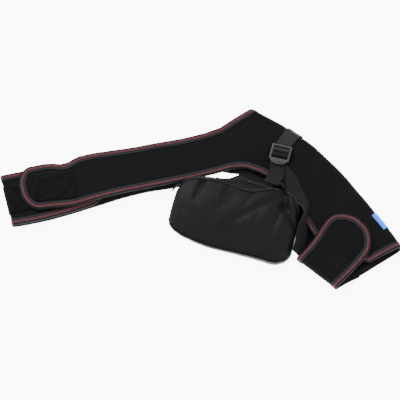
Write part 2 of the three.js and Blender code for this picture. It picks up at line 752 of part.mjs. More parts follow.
const armGrid = armRows(strapColumns, 0);
addPiece("arm_strap", clothGeometry(armGrid, neopreneThickness), "neoprene");
addPiece("arm_strap_binding", edgeTape(strapOutline(armGrid), BINDING_SECTION), "binding");

const armTipStart = armGrid.length - tipRows;
addPiece("arm_hook_patch", patchOn(armGrid, armTipStart - 5, armTipStart - 1, -1), "pile");

// Side label, folded over the sleeve's fold
const labelRise = neopreneThickness / 2 + touchGap + labelThickness / 2;
const labelRows = [0, 1, 2, 3, 4].map((i) => {
  const share = labelPlace + ((i - 2) * labelLength) / 4 / sleeveLength;
  return [84, 60, 30, 0, -24].map((turn) => onFold(share, turn, labelRise));
});
addPiece("side_label", clothGeometry(labelRows, labelThickness), "label");

// Ladder-lock buckle over the front ply, in a frame of its own: s runs down its length from the
// upper rail, t across it and h up from the middle of the ply

const buckleAxis = planFrame(new THREE.Vector2(), buckleHeading, 1).along;
const buckleTop = sleeveFrame
  .at(buckleAlong * sleeveLength, buckleAcross * sleeveWidth)
  .addScaledVector(buckleAxis, -buckleLength / 2);
function overPly(plan, lift) {
  const place = inSleeve(plan);
  return onFrontPly(place.along, place.across, lift);
}
const buckleFrame = (() => {
  const top = overPly(buckleTop, 0);
  const foot = overPly(buckleTop.clone().addScaledVector(buckleAxis, buckleLength), 0);
  const down = foot.clone().sub(top).normalize();
  const right = new THREE.Vector3(0, 0, 1).cross(down).normalize();
  const up = down.clone().cross(right).normalize();
  return new THREE.Matrix4().makeBasis(down, right, up).setPosition(top);
})();
function inBuckle(along, across, height) {
  return new THREE.Vector3(along, across, height).applyMatrix4(buckleFrame);
}

const solidOf = (geometry) => {
  const merged = mergeVertices(geometry.clone().deleteAttribute("normal").deleteAttribute("uv"), 1e-4);
  return new wasm.Manifold(
    new wasm.Mesh({
      numProp: 3,
      vertProperties: merged.attributes.position.array,
      triVerts: new Uint32Array(merged.index.array),
    }),
  );
};
const geometryOf = (solid) => {
  const mesh = solid.getMesh();
  const geometry = new THREE.BufferGeometry();
  geometry.setAttribute("position", new THREE.BufferAttribute(mesh.vertProperties, 3));
  geometry.setIndex(new THREE.BufferAttribute(mesh.triVerts, 1));
  return geometry;
};

const webbingRise = bindingHalf + touchGap + webbingThickness / 2;
const tailRise = webbingRise + webbingThickness + touchGap;
const barHeight = tailRise + webbingThickness / 2 + touchGap + buckleThickness / 2 + 0.6;
const barTurn = Math.hypot(buckleBar, buckleThickness) / 2 + 2 * touchGap + webbingThickness / 2;
const buckleSlot = (buckleLength - 2 * buckleRail - 2 * buckleBar) / 3;
const upperBar = buckleRail + buckleSlot + buckleBar / 2;
const lowerBar = upperBar + buckleSlot + buckleBar;

const buckleHalf = buckleWidth / 2;
const windowHalf = webbingWidth / 2 + 1;
const lipOutline = [-90, -72, -54, -36, -18, 0, 18, 36, 54, 72, 90].map((turn) => {
  const angle = THREE.MathUtils.degToRad(turn);
  return [buckleLength + buckleLip * Math.cos(angle), (buckleHalf - 2) * Math.sin(angle)];
});
const buckleOutline = [
  [0, buckleHalf - 1],
  [0, 1 - buckleHalf],
  [1, -buckleHalf],
  [buckleLength, -buckleHalf],
  ...lipOutline,
  [buckleLength, buckleHalf],
  [1, buckleHalf],
];
const buckleSlots = [buckleRail, upperBar + buckleBar / 2, lowerBar + buckleBar / 2].map((from) => [
  [from, -windowHalf],
  [from, windowHalf],
  [from + buckleSlot, windowHalf],
  [from + buckleSlot, -windowHalf],
]);
const bucklePlate = new wasm.CrossSection([buckleOutline, ...buckleSlots], "EvenOdd");
const buckleGeometry = geometryOf(bucklePlate.extrude(buckleThickness));
buckleGeometry.translate(0, 0, barHeight - buckleThickness / 2);
buckleGeometry.applyMatrix4(buckleFrame);
addPiece("ladder_lock_buckle", buckleGeometry, "plastic");

// Row of three webbing points across a place in the buckle's frame
function buckleRow(along, height) {
  return [-1, 0, 1].map((v) => inBuckle(along, (v * webbingWidth) / 2, height));
}

// Row of three webbing points. heading is the way the webbing runs, onEdge is 0 lying flat and 1
// standing on its edge, and heightAt gives the middle's height over a plan point.
function webbingRow(middle, heading, onEdge, heightAt) {
  const run = planFrame(middle, heading, 1);
  const lean = (onEdge * Math.PI) / 2;
  return [-1, 0, 1].map((v) => {
    const reach = (v * webbingWidth) / 2;
    const plan = run.at(0, reach * Math.cos(lean));
    const lift = -reach * Math.sin(lean);
    return raised(plan, heightAt(plan) + lift);
  });
}

// Round a bar of the buckle, from one turn to another, measured from the bar's upper side
function barRows(bar, from, to, steps) {
  const rows = [];
  for (let i = 0; i <= steps; i += 1) {
    const angle = THREE.MathUtils.degToRad(THREE.MathUtils.lerp(from, to, i / steps));
    rows.push(buckleRow(bar + barTurn * Math.sin(angle), barHeight + barTurn * Math.cos(angle)));
  }
  return rows;
}

// Anchor webbing: from the upper bar, under the upper rail, over the fold and a little way under it
const anchorCrest = [90, 60, 30, 0, -26, -52].map((turn) =>
  [-1, 0, 1].map((v) => onFold(anchorAlong + (v * webbingWidth) / 2 / sleeveLength, turn, webbingRise)),
);
const anchorMeets = buckleRow(-1, webbingRise + touchGap);
const anchorLies = [0.3, 0.65].map((t) =>
  anchorMeets.map((p, j) => {
    const plan = p.clone().lerp(anchorCrest[0][j], t);
    return overPly(new THREE.Vector2(plan.x, plan.y), webbingRise);
  }),
);
const anchorRows = [
  ...barRows(upperBar, 84, -70, 6),
  buckleRow(buckleRail + 1, webbingRise + 2 * touchGap),
  anchorMeets,
  ...anchorLies,
  ...anchorCrest,
];
addPiece("webbing_anchor", clothGeometry(anchorRows, webbingThickness), "webbing");

// Adjusting webbing: its free tail, round the lower bar, then down to the pouch on its edge
const tailRows = TAIL_WEBBING.map((row) => {
  const middle = sleeveFrame.at(row.along * sleeveLength, row.across * sleeveWidth);
  return webbingRow(middle, row.heading, 0, (plan) => overPly(plan, tailRise).z + row.rise * webbingWidth);
});
const loadRows = LOAD_WEBBING.map((row) => {
  const middle = sleeveFrame.at(row.along * sleeveLength, row.across * sleeveWidth);
  const standing = (webbingWidth / 2) * Math.sin((row.onEdge * Math.PI) / 2);
  return webbingRow(middle, row.heading, row.onEdge, (plan) => {
    const ply = THREE.MathUtils.lerp(floorPly, overPly(plan, 0).z, row.ply);
    return ply + webbingRise + standing;
  });
});
const adjustRows = [
  ...tailRows,
  buckleRow(buckleLength + buckleLip, tailRise),
  buckleRow(buckleLength - buckleRail, tailRise),
  ...barRows(lowerBar, 84, -84, 6),
  buckleRow(lowerBar - barTurn + 1, webbingRise + 2.2),
  buckleRow(lowerBar, webbingRise),
  buckleRow(buckleLength, webbingRise),
  ...loadRows,
];
addPiece("webbing_adjust", clothGeometry(adjustRows, webbingThickness), "webbing");

// Zipped pouch: a hollow shell lofted from its left end to its right, open along its zipper

function pouchValue(along, column) {
  return readTable(POUCH, "along", column, along);
}
function pouchPoint(along, across, height) {
  return raised(pouchFrame.at(along * pouchLength, across * pouchWidth), pouchBase + height * pouchDepth);
}

// Slack folds of the front panel at a place of it, as a share of the pouch depth
function foldDepth(along, up) {
  const place = new THREE.Vector2(along, up * 0.5);
  return POUCH_FOLDS.reduce((sum, fold) => {
    const from = new THREE.Vector2(fold.fromAlong, fold.fromUp * 0.5);
    const way = new THREE.Vector2(fold.toAlong, fold.toUp * 0.5).sub(from);
    const t = THREE.MathUtils.clamp(place.clone().sub(from).dot(way) / way.lengthSq(), 0, 1);
    const off = place.distanceTo(from.addScaledVector(way, t)) / fold.width;
    return sum + fold.depth * (1 - 0.6 * t) * Math.exp(-off * off);
  }, 0);
}

// Panel point: up runs from the lower edge (0) over the heel to the top seam (1)
function frontPanel(along, up, inset) {
  const front = pouchValue(along, "front");
  const top = pouchValue(along, "top");
  const heel = pouchValue(along, "heel");
  const lift = pouchValue(along, "lift");
  const swell = 0.16 * Math.sin(Math.PI * Math.min(up, 1)) * lift;
  const height = THREE.MathUtils.lerp(heel, lift, Math.sin((Math.PI / 2) * up)) + swell;
  const across = THREE.MathUtils.lerp(front, top, up);
  return pouchPoint(along, across, height - foldDepth(along, up) - inset);
}
function gussetPoint(along, down, inset) {
  const top = pouchValue(along, "top");
  const back = pouchValue(along, "back");
  const lift = pouchValue(along, "lift");
  const across = THREE.MathUtils.lerp(top, back, down);
  const height = lift * (1 - 0.62 * Math.max(down, 0) ** 1.6) + 0.05 * Math.sin(Math.PI * down);
  return pouchPoint(along, across, height - inset);
}

// One closed section of the pouch, or of its hollow when wall is the cloth's thickness
function pouchSection(along, wall) {
  const share = wall / pouchDepth;
  const side = wall / pouchWidth;
  const front = pouchValue(along, "front") + side;
  const back = pouchValue(along, "back") - side;
  const loop = [pouchPoint(along, front, share)];
  for (const up of [0, 0.08, 0.2, 0.34, 0.5, 0.66, 0.82, 1]) {
    loop.push(frontPanel(along, THREE.MathUtils.lerp(side, 1 - side, up), 1.1 * share));
  }
  loop[1].addScaledVector(raised(pouchFrame.across, 0), wall);
  for (const down of [0.14, 0.3, 0.5, 0.75, 1]) {
    loop.push(gussetPoint(along, down * (1 - 2 * side), 1.5 * share));
  }
  loop.push(pouchPoint(along, back, 0.16 + share), pouchPoint(along, back - 0.02, share));
  loop.push(pouchPoint(along, (front + back) / 2, share));
  return loop;
}

// Solid through a list of closed sections, its ends closed by a fan
function loftGeometry(sections) {
  const around = sections[0].length;
  const vertices = sections.flat();
  const triangles = [];
  for (let i = 0; i < sections.length - 1; i += 1) {
    for (let j = 0; j < around; j += 1) {
      const a = i * around + j;
      const b = i * around + ((j + 1) % around);
      triangles.push([a, b, b + around], [a, b + around, a + around]);
    }
  }
  for (const [at, turn] of [[0, 1], [sections.length - 1, -1]]) {
    const middle = new THREE.Vector3();
    sections[at].forEach((p) => middle.addScaledVector(p, 1 / around));
    vertices.push(middle);
    for (let j = 0; j < around; j += 1) {
      const a = at * around + j;
      const b = at * around + ((j + 1) % around);
      triangles.push(turn > 0 ? [b, a, vertices.length - 1] : [a, b, vertices.length - 1]);
    }
  }
  return closedGeometry(vertices, triangles);
}

const pouchStops = [
  -0.5, -0.485, -0.45, -0.4, -0.335, -0.265, -0.19, -0.12, -0.05, 0.02, 0.08, 0.14,
  0.2, 0.26, 0.31, 0.36, 0.41, 0.45, 0.48, 0.5,
];
const endInset = nylonThickness / pouchLength;
const hollowStops = pouchStops.map((along) => along * (1 - 2.4 * endInset));
const pouchOuter = solidOf(loftGeometry(pouchStops.map((along) => pouchSection(along, 0))));
const pouchHollow = solidOf(
  loftGeometry(hollowStops.map((along) => pouchSection(along, nylonThickness))),
);

// Zipper tape: the strip of the gusset between two places along it
function zipStrip(trim) {
  const steps = 15;
  const halfWidth = (zipTapeWidth / 2 - trim) / pouchWidth;
  const trimmed = trim / pouchLength;
  const rows = [];
  for (let i = 0; i <= steps; i += 1) {
    const along = THREE.MathUtils.lerp(zipFrom + trimmed, zipTo - trimmed, i / steps);
    const span = pouchValue(along, "back") - pouchValue(along, "top");
    const rowsAcross = [-1, 0, 1].map((v) => zipDown + (v * halfWidth) / Math.max(span, 0.06));
    rows.push(rowsAcross.map((down) => gussetPoint(along, down, 0.5 * (nylonThickness / pouchDepth))));
  }
  return solidOf(clothGeometry(rows, zipCutDepth));
}
const largest = (solid) => solid.decompose().reduce((a, b) => (a.volume() > b.volume() ? a : b));
const pouchShell = pouchOuter.subtract(pouchHollow);
const zipSolid = pouchShell.intersect(zipStrip(touchGap));
addPiece("pouch_body", geometryOf(largest(pouchShell.subtract(zipStrip(0)))), "nylon");
addPiece("zipper_tape", geometryOf(zipSolid), "nylon");

// Round cord along a list of points
function cordGeometry(points, radius, sides) {
  const rings = points.map((p, i) => {
    const before = points[Math.max(i - 1, 0)];
    const after = points[Math.min(i + 1, points.length - 1)];
    const run = after.clone().sub(before).normalize();
    const out = run.clone().cross(new THREE.Vector3(0, 0, 1)).normalize();
    const up = out.clone().cross(run).normalize();
    return Array.from({ length: sides }, (_, k) => {
      const angle = (2 * Math.PI * k) / sides;
      return p
        .clone()
        .addScaledVector(out, radius * Math.cos(angle))
        .addScaledVector(up, radius * Math.sin(angle));
    });
  });
  return loftGeometry(rings);
}
const pipingLift = raised(new THREE.Vector2(), pipingRadius + touchGap + 0.5);
const topPiping = pouchStops.slice(1, -1).map((along) => frontPanel(along, 1, 0).add(pipingLift));
addPiece("pouch_piping_top", cordGeometry(topPiping, pipingRadius, 6), "nylon");
const lowPiping = pouchStops.slice(1, -1).map((along) => {
  const out = raised(pouchFrame.across, 0).multiplyScalar(-(pipingRadius + touchGap + 0.6));
  return frontPanel(along, 0, 0).add(out);
});
addPiece("pouch_piping_bottom", cordGeometry(lowPiping, pipingRadius, 6), "nylon");

// Zipper slider on the tape, and the pulls: one lying along the gusset, one out at the left end
function onGusset(along, down) {
  const point = gussetPoint(along, down, 0);
  const run = gussetPoint(along + 0.02, down, 0).sub(gussetPoint(along - 0.02, down, 0)).normalize();
  const slope = gussetPoint(along, down + 0.1, 0).sub(gussetPoint(along, down - 0.1, 0)).normalize();
  const up = run.clone().cross(slope);
  up.multiplyScalar(Math.sign(up.z)).normalize();
  const side = up.clone().cross(run).normalize();
  return new THREE.Matrix4().makeBasis(run, side, up).setPosition(point);
}
const slider = new THREE.BoxGeometry(sliderLength, sliderWidth, sliderHeight);
slider.translate(0, 0, sliderHeight / 2 + sliderLift).applyMatrix4(onGusset(sliderAlong, zipDown));
addPiece("zipper_slider", slider, "plastic");
const pull = new THREE.BoxGeometry(pullLength, pullWidth, pullThickness);
const pullAlong = sliderAlong - (sliderLength + pullLength + 2) / 2 / pouchLength;
pull.translate(0, 0, pullThickness / 2 + sliderLift + 1).applyMatrix4(onGusset(pullAlong, zipDown));
addPiece("zipper_pull_right", pull, "plastic");
const leftPull = LEFT_PULL.map((row) => pouchPoint(row.along, row.across, row.height));
addPiece("zipper_pull_left", cordGeometry(leftPull, pullThickness, 8), "plastic");

// The origin is the middle of the bounding box's underside
const bounds = new THREE.Box3().setFromObject(brace);
const middle = bounds.getCenter(new THREE.Vector3());
brace.position.set(-middle.x, -middle.y, -bounds.min.z);
brace.updateMatrixWorld(true);
export default brace;
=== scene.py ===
# Shoulder brace of black neoprene, lying flat and folded on a white table, seen from the front.
# Metres, +Z up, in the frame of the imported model.
import math
from collections import namedtuple

import bmesh
import bpy
from mathutils import Matrix, Vector, noise


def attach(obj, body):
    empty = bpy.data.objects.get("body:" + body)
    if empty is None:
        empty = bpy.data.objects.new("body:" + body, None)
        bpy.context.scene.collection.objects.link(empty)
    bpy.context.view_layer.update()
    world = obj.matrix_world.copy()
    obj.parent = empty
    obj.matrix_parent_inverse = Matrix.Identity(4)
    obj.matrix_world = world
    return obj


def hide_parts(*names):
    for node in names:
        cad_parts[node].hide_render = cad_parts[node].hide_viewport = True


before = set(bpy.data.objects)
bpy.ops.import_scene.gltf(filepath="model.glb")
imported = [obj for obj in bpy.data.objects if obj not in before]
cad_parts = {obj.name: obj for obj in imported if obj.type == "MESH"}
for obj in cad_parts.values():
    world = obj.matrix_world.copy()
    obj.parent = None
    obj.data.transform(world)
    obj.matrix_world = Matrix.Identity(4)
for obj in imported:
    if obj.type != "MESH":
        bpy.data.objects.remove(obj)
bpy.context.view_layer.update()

# Table, lights and camera: a white table top that glows like a light table, soft studio light from
# above and behind, and a long lens that looks down on the brace from its front.
white = (1, 1, 1, 1)
table_reach = 6
table_drop = 0.0004


def named_rows(columns, rows):
    """The rows of a table, each with its values under the names of the columns."""
    names = columns.split()
    return [dict(zip(names, row)) for row in rows]


def linked(name, data):
    made = bpy.data.objects.new(name, data)
    bpy.context.collection.objects.link(made)
    return made


def set_inputs(node, values):
    for name, value in values.items():
        node.inputs[name].default_value = value


table = bpy.data.meshes.new("table")
surface = bmesh.new()
bmesh.ops.create_grid(surface, x_segments=1, y_segments=1, size=table_reach)
bmesh.ops.translate(surface, verts=surface.verts, vec=(0, 0, -table_drop))
surface.to_mesh(table)
surface.free()
linked("table_top", table)
table_paint = bpy.data.materials.new("table_paint")
table_paint.use_nodes = True
set_inputs(table_paint.node_tree.nodes["Principled BSDF"], {
    "Base Color": (0.93, 0.93, 0.93, 1),
    "Roughness": 0.85,
    "Emission Color": white,
    "Emission Strength": 8,
})
table.materials.append(table_paint)

world = bpy.data.worlds.new("studio")
bpy.context.scene.world = world
world.use_nodes = True
set_inputs(world.node_tree.nodes["Background"], {"Color": white, "Strength": 1.3})

LIGHTS = named_rows("name place size power", [
    ("key", (-1.1, 1.4, 1.9), 1.4, 80),
    ("fill", (1.5, -0.9, 1.7), 1.8, 30),
])
for row in LIGHTS:
    lamp = bpy.data.lights.new(row["name"], "AREA")
    lamp.size = row["size"]
    lamp.energy = row["power"]
    light = linked(row["name"], lamp)
    light.location = row["place"]
    light.rotation_euler = (-Vector(row["place"])).to_track_quat("-Z", "Y").to_euler()

camera_elevation = math.radians(60)
camera_distance = 5.0
camera_width = 0.768
camera_sensor = 36
camera_aim = Vector((0.0009, 0.0013, 0))
lens = bpy.data.cameras.new("camera")
lens.sensor_width = camera_sensor
lens.lens = camera_sensor * camera_distance / camera_width
camera = linked("camera", lens)
camera_way = Vector((0, -math.cos(camera_elevation), math.sin(camera_elevation)))
camera.location = camera_aim + camera_distance * camera_way
camera.rotation_euler = (math.pi / 2 - camera_elevation, 0, 0)
bpy.context.scene.camera = camera


# Shoulder sleeve: one panel of 3 mm neoprene faced with a fine loop knit, folded along its top
# right side and open at the neck and at the arm hem. Its edges are bound.
neoprene = 0.003
sleeve_length = 0.414
sleeve_width = 0.120
sleeve_heading = -47.7
sleeve_fold = 0.009
sleeve_start = (0.102, 0.194)
chest_heading = 194
chest_seam_along = 0.029
chest_seam_across = 0.096
chest_seam_width = 0.094
chest_back_shift = 0.005
bound_ply = 0.005
loop_gap = 0.005
underarm_gap = 0.003
floor_ply = bound_ply / 2
loop_ply = floor_ply + bound_ply + loop_gap
underarm_ply = floor_ply + bound_ply + underarm_gap
crest_ply = floor_ply + 2 * sleeve_fold
table_middle = Vector((-0.000914, -0.001339))
hem_lean = {"front": 0.28, "back": 0.14}
hem_from = 0.8
loop_end = 0.1
underarm_start = 0.4
seam_run = 0.02
front_cells = 28
fold_cells = 18
back_cells = 12
knit_pitch = 0.0011
knit_sway = 0.0004

FOLD_BOW = named_rows("along bow", [
    (0, 0),
    (0.05, 0.016),
    (0.23, 0.058),
    (0.43, 0.074),
    (0.67, 0.055),
    (0.8, 0.037),
    (0.93, 0.018),
    (1, 0),
])
UNDERARM = named_rows("along front back", [
    (0.2, 0.85, 0.94),
    (0.23, 0.78, 0.9),
    (0.29, 0.69, 0.83),
    (0.36, 0.64, 0.78),
    (0.43, 0.635, 0.75),
    (0.51, 0.69, 0.77),
    (0.585, 0.76, 0.83),
    (0.665, 0.84, 0.845),
    (0.75, 0.845, 0.84),
    (0.85, 0.77, 0.83),
    (0.93, 0.67, 0.82),
    (0.97, 0.61, 0.81),
    (1, 0.54, 0.8),
])


def clamped(t):
    return min(max(t, 0), 1)


def between(a, b, t):
    return a + (b - a) * t


def steps(start, end, cells):
    return [between(start, end, i / cells) for i in range(cells + 1)]


def eased(t):
    return t * t * (3 - 2 * t)


def smoothstep(at, low, high):
    return eased(clamped((at - low) / (high - low)))


def curve_between(a, b, out_way, in_way, t):
    """A smooth curve from a to b that leaves a by one way and comes into b by the other."""
    return between(a + out_way * t, b - in_way * (1 - t), eased(t))


def read_table(rows, key, column, at):
    """The smooth curve through one column of a table, at any value of its key."""
    last = len(rows) - 1
    i = 0
    while i < last - 1 and at > rows[i + 1][key]:
        i += 1

    def slope(k):
        before = rows[max(k - 1, 0)]
        after = rows[min(k + 1, last)]
        return (after[column] - before[column]) / (after[key] - before[key])

    step = rows[i + 1][key] - rows[i][key]
    t = clamped((at - rows[i][key]) / step)
    a = rows[i][column]
    b = rows[i + 1][column]
    return curve_between(a, b, slope(i) * step, slope(i + 1) * step, t)


class Plan:
    """A frame on the table: along its heading, and across to one side of it."""

    def __init__(self, origin, heading, side):
        angle = math.radians(heading)
        self.origin = origin
        self.along = Vector((math.cos(angle), math.sin(angle)))
        self.across = Vector((-side * self.along.y, side * self.along.x))

    def at(self, u, v):
        return self.origin + self.along * u + self.across * v

    def inside(self, point):
        away = Vector((point.x, point.y)) - self.origin
        return away.dot(self.along), away.dot(self.across)


def raised(point, z):
    return Vector((point.x, point.y, z))


def even_columns(cells):
    """Places across a strip, from -1 at one edge to 1 at the other."""
    return steps(-1, 1, 2 * cells)


sleeve_plan = Plan(Vector(sleeve_start) - table_middle, sleeve_heading, -1)
front_plan = Plan(sleeve_plan.at(chest_seam_along, chest_seam_across), chest_heading, -1)
back_plan = Plan(
    sleeve_plan.at(chest_seam_along, chest_seam_across + chest_back_shift), chest_heading, -1
)
seam_turn = math.radians(chest_heading - sleeve_heading - 90)
seam_share = (chest_seam_along + abs(math.cos(seam_turn)) * chest_seam_width / 2) / sleeve_length


def fold_place(share):
    bow = read_table(FOLD_BOW, "along", "bow", share) * sleeve_length
    return sleeve_plan.at(share * sleeve_length, -bow)


def sleeve_edge(share, side):
    """Edge of the sleeve: the chest seam first, then the underarm edge down to the hem."""
    shift = chest_back_shift if side == "back" else 0
    middle = sleeve_plan.at(chest_seam_along, chest_seam_across + shift)
    if share <= seam_share:
        return middle - front_plan.across * (share / seam_share - 0.5) * chest_seam_width
    seam_end = sleeve_plan.inside(middle - front_plan.across * chest_seam_width / 2)[1]
    rows = [{"along": seam_share, side: seam_end / sleeve_width}]
    for row in UNDERARM:
        rows.append({"along": max(row["along"], seam_share + seam_run), side: row[side]})
    across = read_table(rows, "along", side, share) * sleeve_width
    leaning = smoothstep(share, hem_from, 1) * hem_lean[side] * across
    return sleeve_plan.at(share * sleeve_length - leaning, across)


def front_height(share, to_crest):
    edge = between(loop_ply, underarm_ply, smoothstep(share, loop_end, underarm_start))
    return edge + (crest_ply - edge) * math.sin(math.pi / 2 * clamped(to_crest))


def over_ply(point, lift):
    """Point at a height over the middle of the sleeve's front ply."""
    along, across = sleeve_plan.inside(point)
    share = clamped(along / sleeve_length)
    bow = read_table(FOLD_BOW, "along", "bow", share) * sleeve_length
    edge = sleeve_plan.inside(sleeve_edge(max(share, seam_share), "front"))[1]
    to_crest = 1 - (across + bow - sleeve_fold) / (edge + bow - sleeve_fold)
    return raised(point, front_height(share, to_crest) + lift)


def on_fold(share, turn, lift):
    """Point on the rounded fold: turn is 90 at the crest, 0 outside and -90 underneath."""
    angle = math.radians(turn)
    reach = sleeve_fold + lift
    plan = fold_place(share) + sleeve_plan.across * (sleeve_fold - math.cos(angle) * reach)
    return raised(plan, floor_ply + sleeve_fold + math.sin(angle) * reach)


def sleeve_row(share):
    fold = fold_place(share)
    front_way = sleeve_edge(share, "front") - fold
    back_way = sleeve_edge(share, "back") - fold
    front_start = sleeve_fold / front_way.length
    back_start = sleeve_fold / back_way.length
    row = []
    for j in range(front_cells):
        to_crest = j / front_cells
        plan = fold + front_way * (1 - to_crest * (1 - front_start))
        row.append(raised(plan, front_height(share, to_crest)))
    for j in range(fold_cells + 1):
        angle = math.pi * (0.5 - j / fold_cells)
        way = (front_way if j < fold_cells / 2 else back_way).normalized()
        plan = fold + way * sleeve_fold * (1 - math.cos(angle))
        row.append(raised(plan, floor_ply + sleeve_fold * (1 + math.sin(angle))))
    for j in range(1, back_cells + 1):
        row.append(raised(fold + back_way * between(back_start, 1, j / back_cells), floor_ply))
    return row


def cloth_piece(name, rows, thickness, material):
    """Cloth of one thickness on a grid of middle points, its UV map in metres of cloth."""
    mesh = bpy.data.meshes.new(name)
    cloth = bmesh.new()
    uv = cloth.loops.layers.uv.new("cloth")
    down = len(rows) - 1
    right = len(rows[0]) - 1
    bmesh.ops.create_grid(cloth, x_segments=right, y_segments=down, size=1)
    middle = right // 2
    run = [0.0]
    for i in range(down):
        run.append(run[-1] + (rows[i + 1][middle] - rows[i][middle]).length)
    spans = []
    for row in rows:
        span = [0.0]
        for j in range(right):
            span.append(span[-1] + (row[j + 1] - row[j]).length)
        spans.append([s - span[middle] for s in span])
    places = {}
    for v in cloth.verts:
        j = round((v.co.x + 1) / 2 * right)
        i = round((v.co.y + 1) / 2 * down)
        places[v] = (spans[i][j], run[i])
        v.co = rows[i][j]
    for face in cloth.faces:
        face.smooth = True
        for corner in face.loops:
            corner[uv].uv = places[corner.vert]
    area = sum(face.calc_area() for face in cloth.faces)
    cloth.to_mesh(mesh)
    cloth.free()
    mesh.materials.append(material)
    piece = linked(name, mesh)
    wall = piece.modifiers.new("wall", "SOLIDIFY")
    wall.thickness = thickness
    wall.offset = 0
    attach(piece, "root")
    return piece, area


class Value:
    """A socket of a material's nodes, on which arithmetic adds Math nodes."""

    def __init__(self, nodes, socket):
        self.nodes = nodes
        self.socket = socket

    def math(self, operation, *others):
        return self.nodes.add("ShaderNodeMath", {"operation": operation}, (self, *others))

    def __add__(self, other):
        return self.math("ADD", other)

    def __mul__(self, other):
        return self.math("MULTIPLY", other)

    def __sub__(self, other):
        return self.math("SUBTRACT", other)


class Finish:
    """A material and its nodes."""

    def __init__(self, name, roughness, shine=0.5, sheen=0.0):
        self.material = bpy.data.materials.new(name)
        self.material.use_nodes = True
        self.tree = self.material.node_tree
        self.shader = self.tree.nodes["Principled BSDF"]
        looks = {"Roughness": roughness, "Specular IOR Level": shine, "Sheen Weight": sheen}
        set_inputs(self.shader, {**looks, "Sheen Roughness": 0.5})

    def add(self, kind, settings, inputs, output=0):
        """Adds a node with its settings, then the values or links of its sockets."""
        made = self.tree.nodes.new(kind)
        for key, setting in settings.items():
            setattr(made, key, setting)
        pairs = inputs.items() if isinstance(inputs, dict) else enumerate(inputs)
        for key, value in pairs:
            if isinstance(value, Value):
                self.tree.links.new(value.socket, made.inputs[key])
            else:
                made.inputs[key].default_value = value
        return Value(self, made.outputs[output])

    def cloth_place(self):
        """Across and along the cloth, in metres."""
        uv = self.add("ShaderNodeUVMap", {"uv_map": "cloth"}, ())
        across = self.add("ShaderNodeSeparateXYZ", {}, (uv,), 0)
        along = self.add("ShaderNodeSeparateXYZ", {}, (uv,), 1)
        return uv, across, along

    def object_place(self):
        return self.add("ShaderNodeTexCoord", {}, (), 3)

    def mottle(self, place, scale, detail=2.0, stretch=(1, 1, 1)):
        spread = self.add("ShaderNodeVectorMath", {"operation": "MULTIPLY"}, (place, stretch))
        inputs = {"Vector": spread, "Scale": scale, "Detail": detail, "Roughness": 0.55}
        return self.add("ShaderNodeTexNoise", {}, inputs)

    def blend(self, factor, first, second):
        """Mixes two colours, each from other nodes or given as red, green and blue."""
        first, second = [c if isinstance(c, Value) else (*c, 1) for c in (first, second)]
        inputs = {0: factor, 6: first, 7: second}
        return self.add("ShaderNodeMix", {"data_type": "RGBA"}, inputs, 2)

    def dye(self, factor, first, second):
        mixed = self.blend(factor, first, second)
        self.tree.links.new(mixed.socket, self.shader.inputs["Base Color"])

    def roughness(self, value):
        self.tree.links.new(value.socket, self.shader.inputs["Roughness"])

    def bump(self, height, distance, strength=1.0):
        inputs = {"Strength": strength, "Distance": distance, "Height": height}
        normal = self.add("ShaderNodeBump", {}, inputs)
        self.tree.links.new(normal.socket, self.shader.inputs["Normal"])


def wave(place, pitch):
    """Rises and falls between 0 and 1 over each pitch."""
    turn = place * (2 * math.pi / pitch)
    return turn.math("SINE") * 0.5 + 0.5


def loop_knit():
    """Fine looped knit that faces neoprene: short courses of loops, slightly brushed, with large
    random patches that are partly wear and partly painted sheen.
    """
    finish = Finish("neoprene_cloth", roughness=0.9, shine=0.06, sheen=0.02)
    uv, across, along = finish.cloth_place()
    wales = wave(along, 2 * knit_pitch)
    courses = wave(across + wales * knit_sway, knit_pitch) * wales
    brushed = finish.mottle(uv, 900.0, 3.0)
    # Large random patches, lighter and darker: partly wear, partly painted sheen.
    wear_and_sheen_patches = finish.mottle(uv, 14.0, 2.0)
    tone = courses * 0.35 + brushed * 0.5 + wear_and_sheen_patches * 0.35 - 0.3
    finish.dye(tone, (0.0027, 0.0028, 0.0034), (0.0082, 0.0085, 0.01))
    finish.bump(courses * 0.6 + brushed * 0.8, 0.0003, 0.6)
    return finish.material


neoprene_cloth = loop_knit()

seam_cells = 10
sleeve_cells = 60
sleeve_shares = steps(0, seam_share, seam_cells)[:-1] + steps(seam_share, 1, sleeve_cells)
sleeve_rows = [sleeve_row(share) for share in sleeve_shares]
sleeve, sleeve_area = cloth_piece("sleeve_panel", sleeve_rows, neoprene, neoprene_cloth)
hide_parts("shoulder_sleeve")


# Chest strap in front: the same neoprene, sewn to the sleeve's front ply, with a rounded tab at its
# end and bound all round.
strap_width = 0.100
front_length = 0.407
front_tip = 0.028
seam_gap = 0.0002
patch_wall = 0.0012
touch = 0.0003
back_fold = 0.0036
return_ply = floor_ply + 2 * back_fold
tab_ply = return_ply + neoprene + 2 * patch_wall + 3 * touch
strap_columns = even_columns(8)
strap_cells = 64
tip_turns = (0, 9, 18, 27, 36, 45, 53, 60, 66, 71, 75, 78)

FRONT_STRAP = named_rows("along sway width rise", [
    (0, 0, 0.94, 0),
    (0.13, -0.04, 0.91, 0),
    (0.325, -0.03, 0.93, 0),
    (0.45, -0.02, 0.935, 0.1),
    (0.56, -0.015, 0.965, 0.85),
    (0.67, -0.02, 1, 1),
    (0.72, -0.045, 0.98, 1),
    (0.77, -0.08, 0.93, 1),
    (0.82, -0.04, 0.97, 1),
    (0.905, 0, 0.955, 1),
    (1, 0.015, 0.89, 1),
])


def tip_share(from_tip, tip):
    inside = min(from_tip / tip, 1)
    return math.sqrt(max(1 - (1 - inside) ** 2, 0))


def strap_stops(cells, tip):
    """Places along a strap of unit length: even steps, then finer ones round its tip."""
    straight = 1 - tip
    rounded = [straight + tip * math.sin(math.radians(turn)) for turn in tip_turns]
    return steps(0, straight, cells)[:-1] + rounded


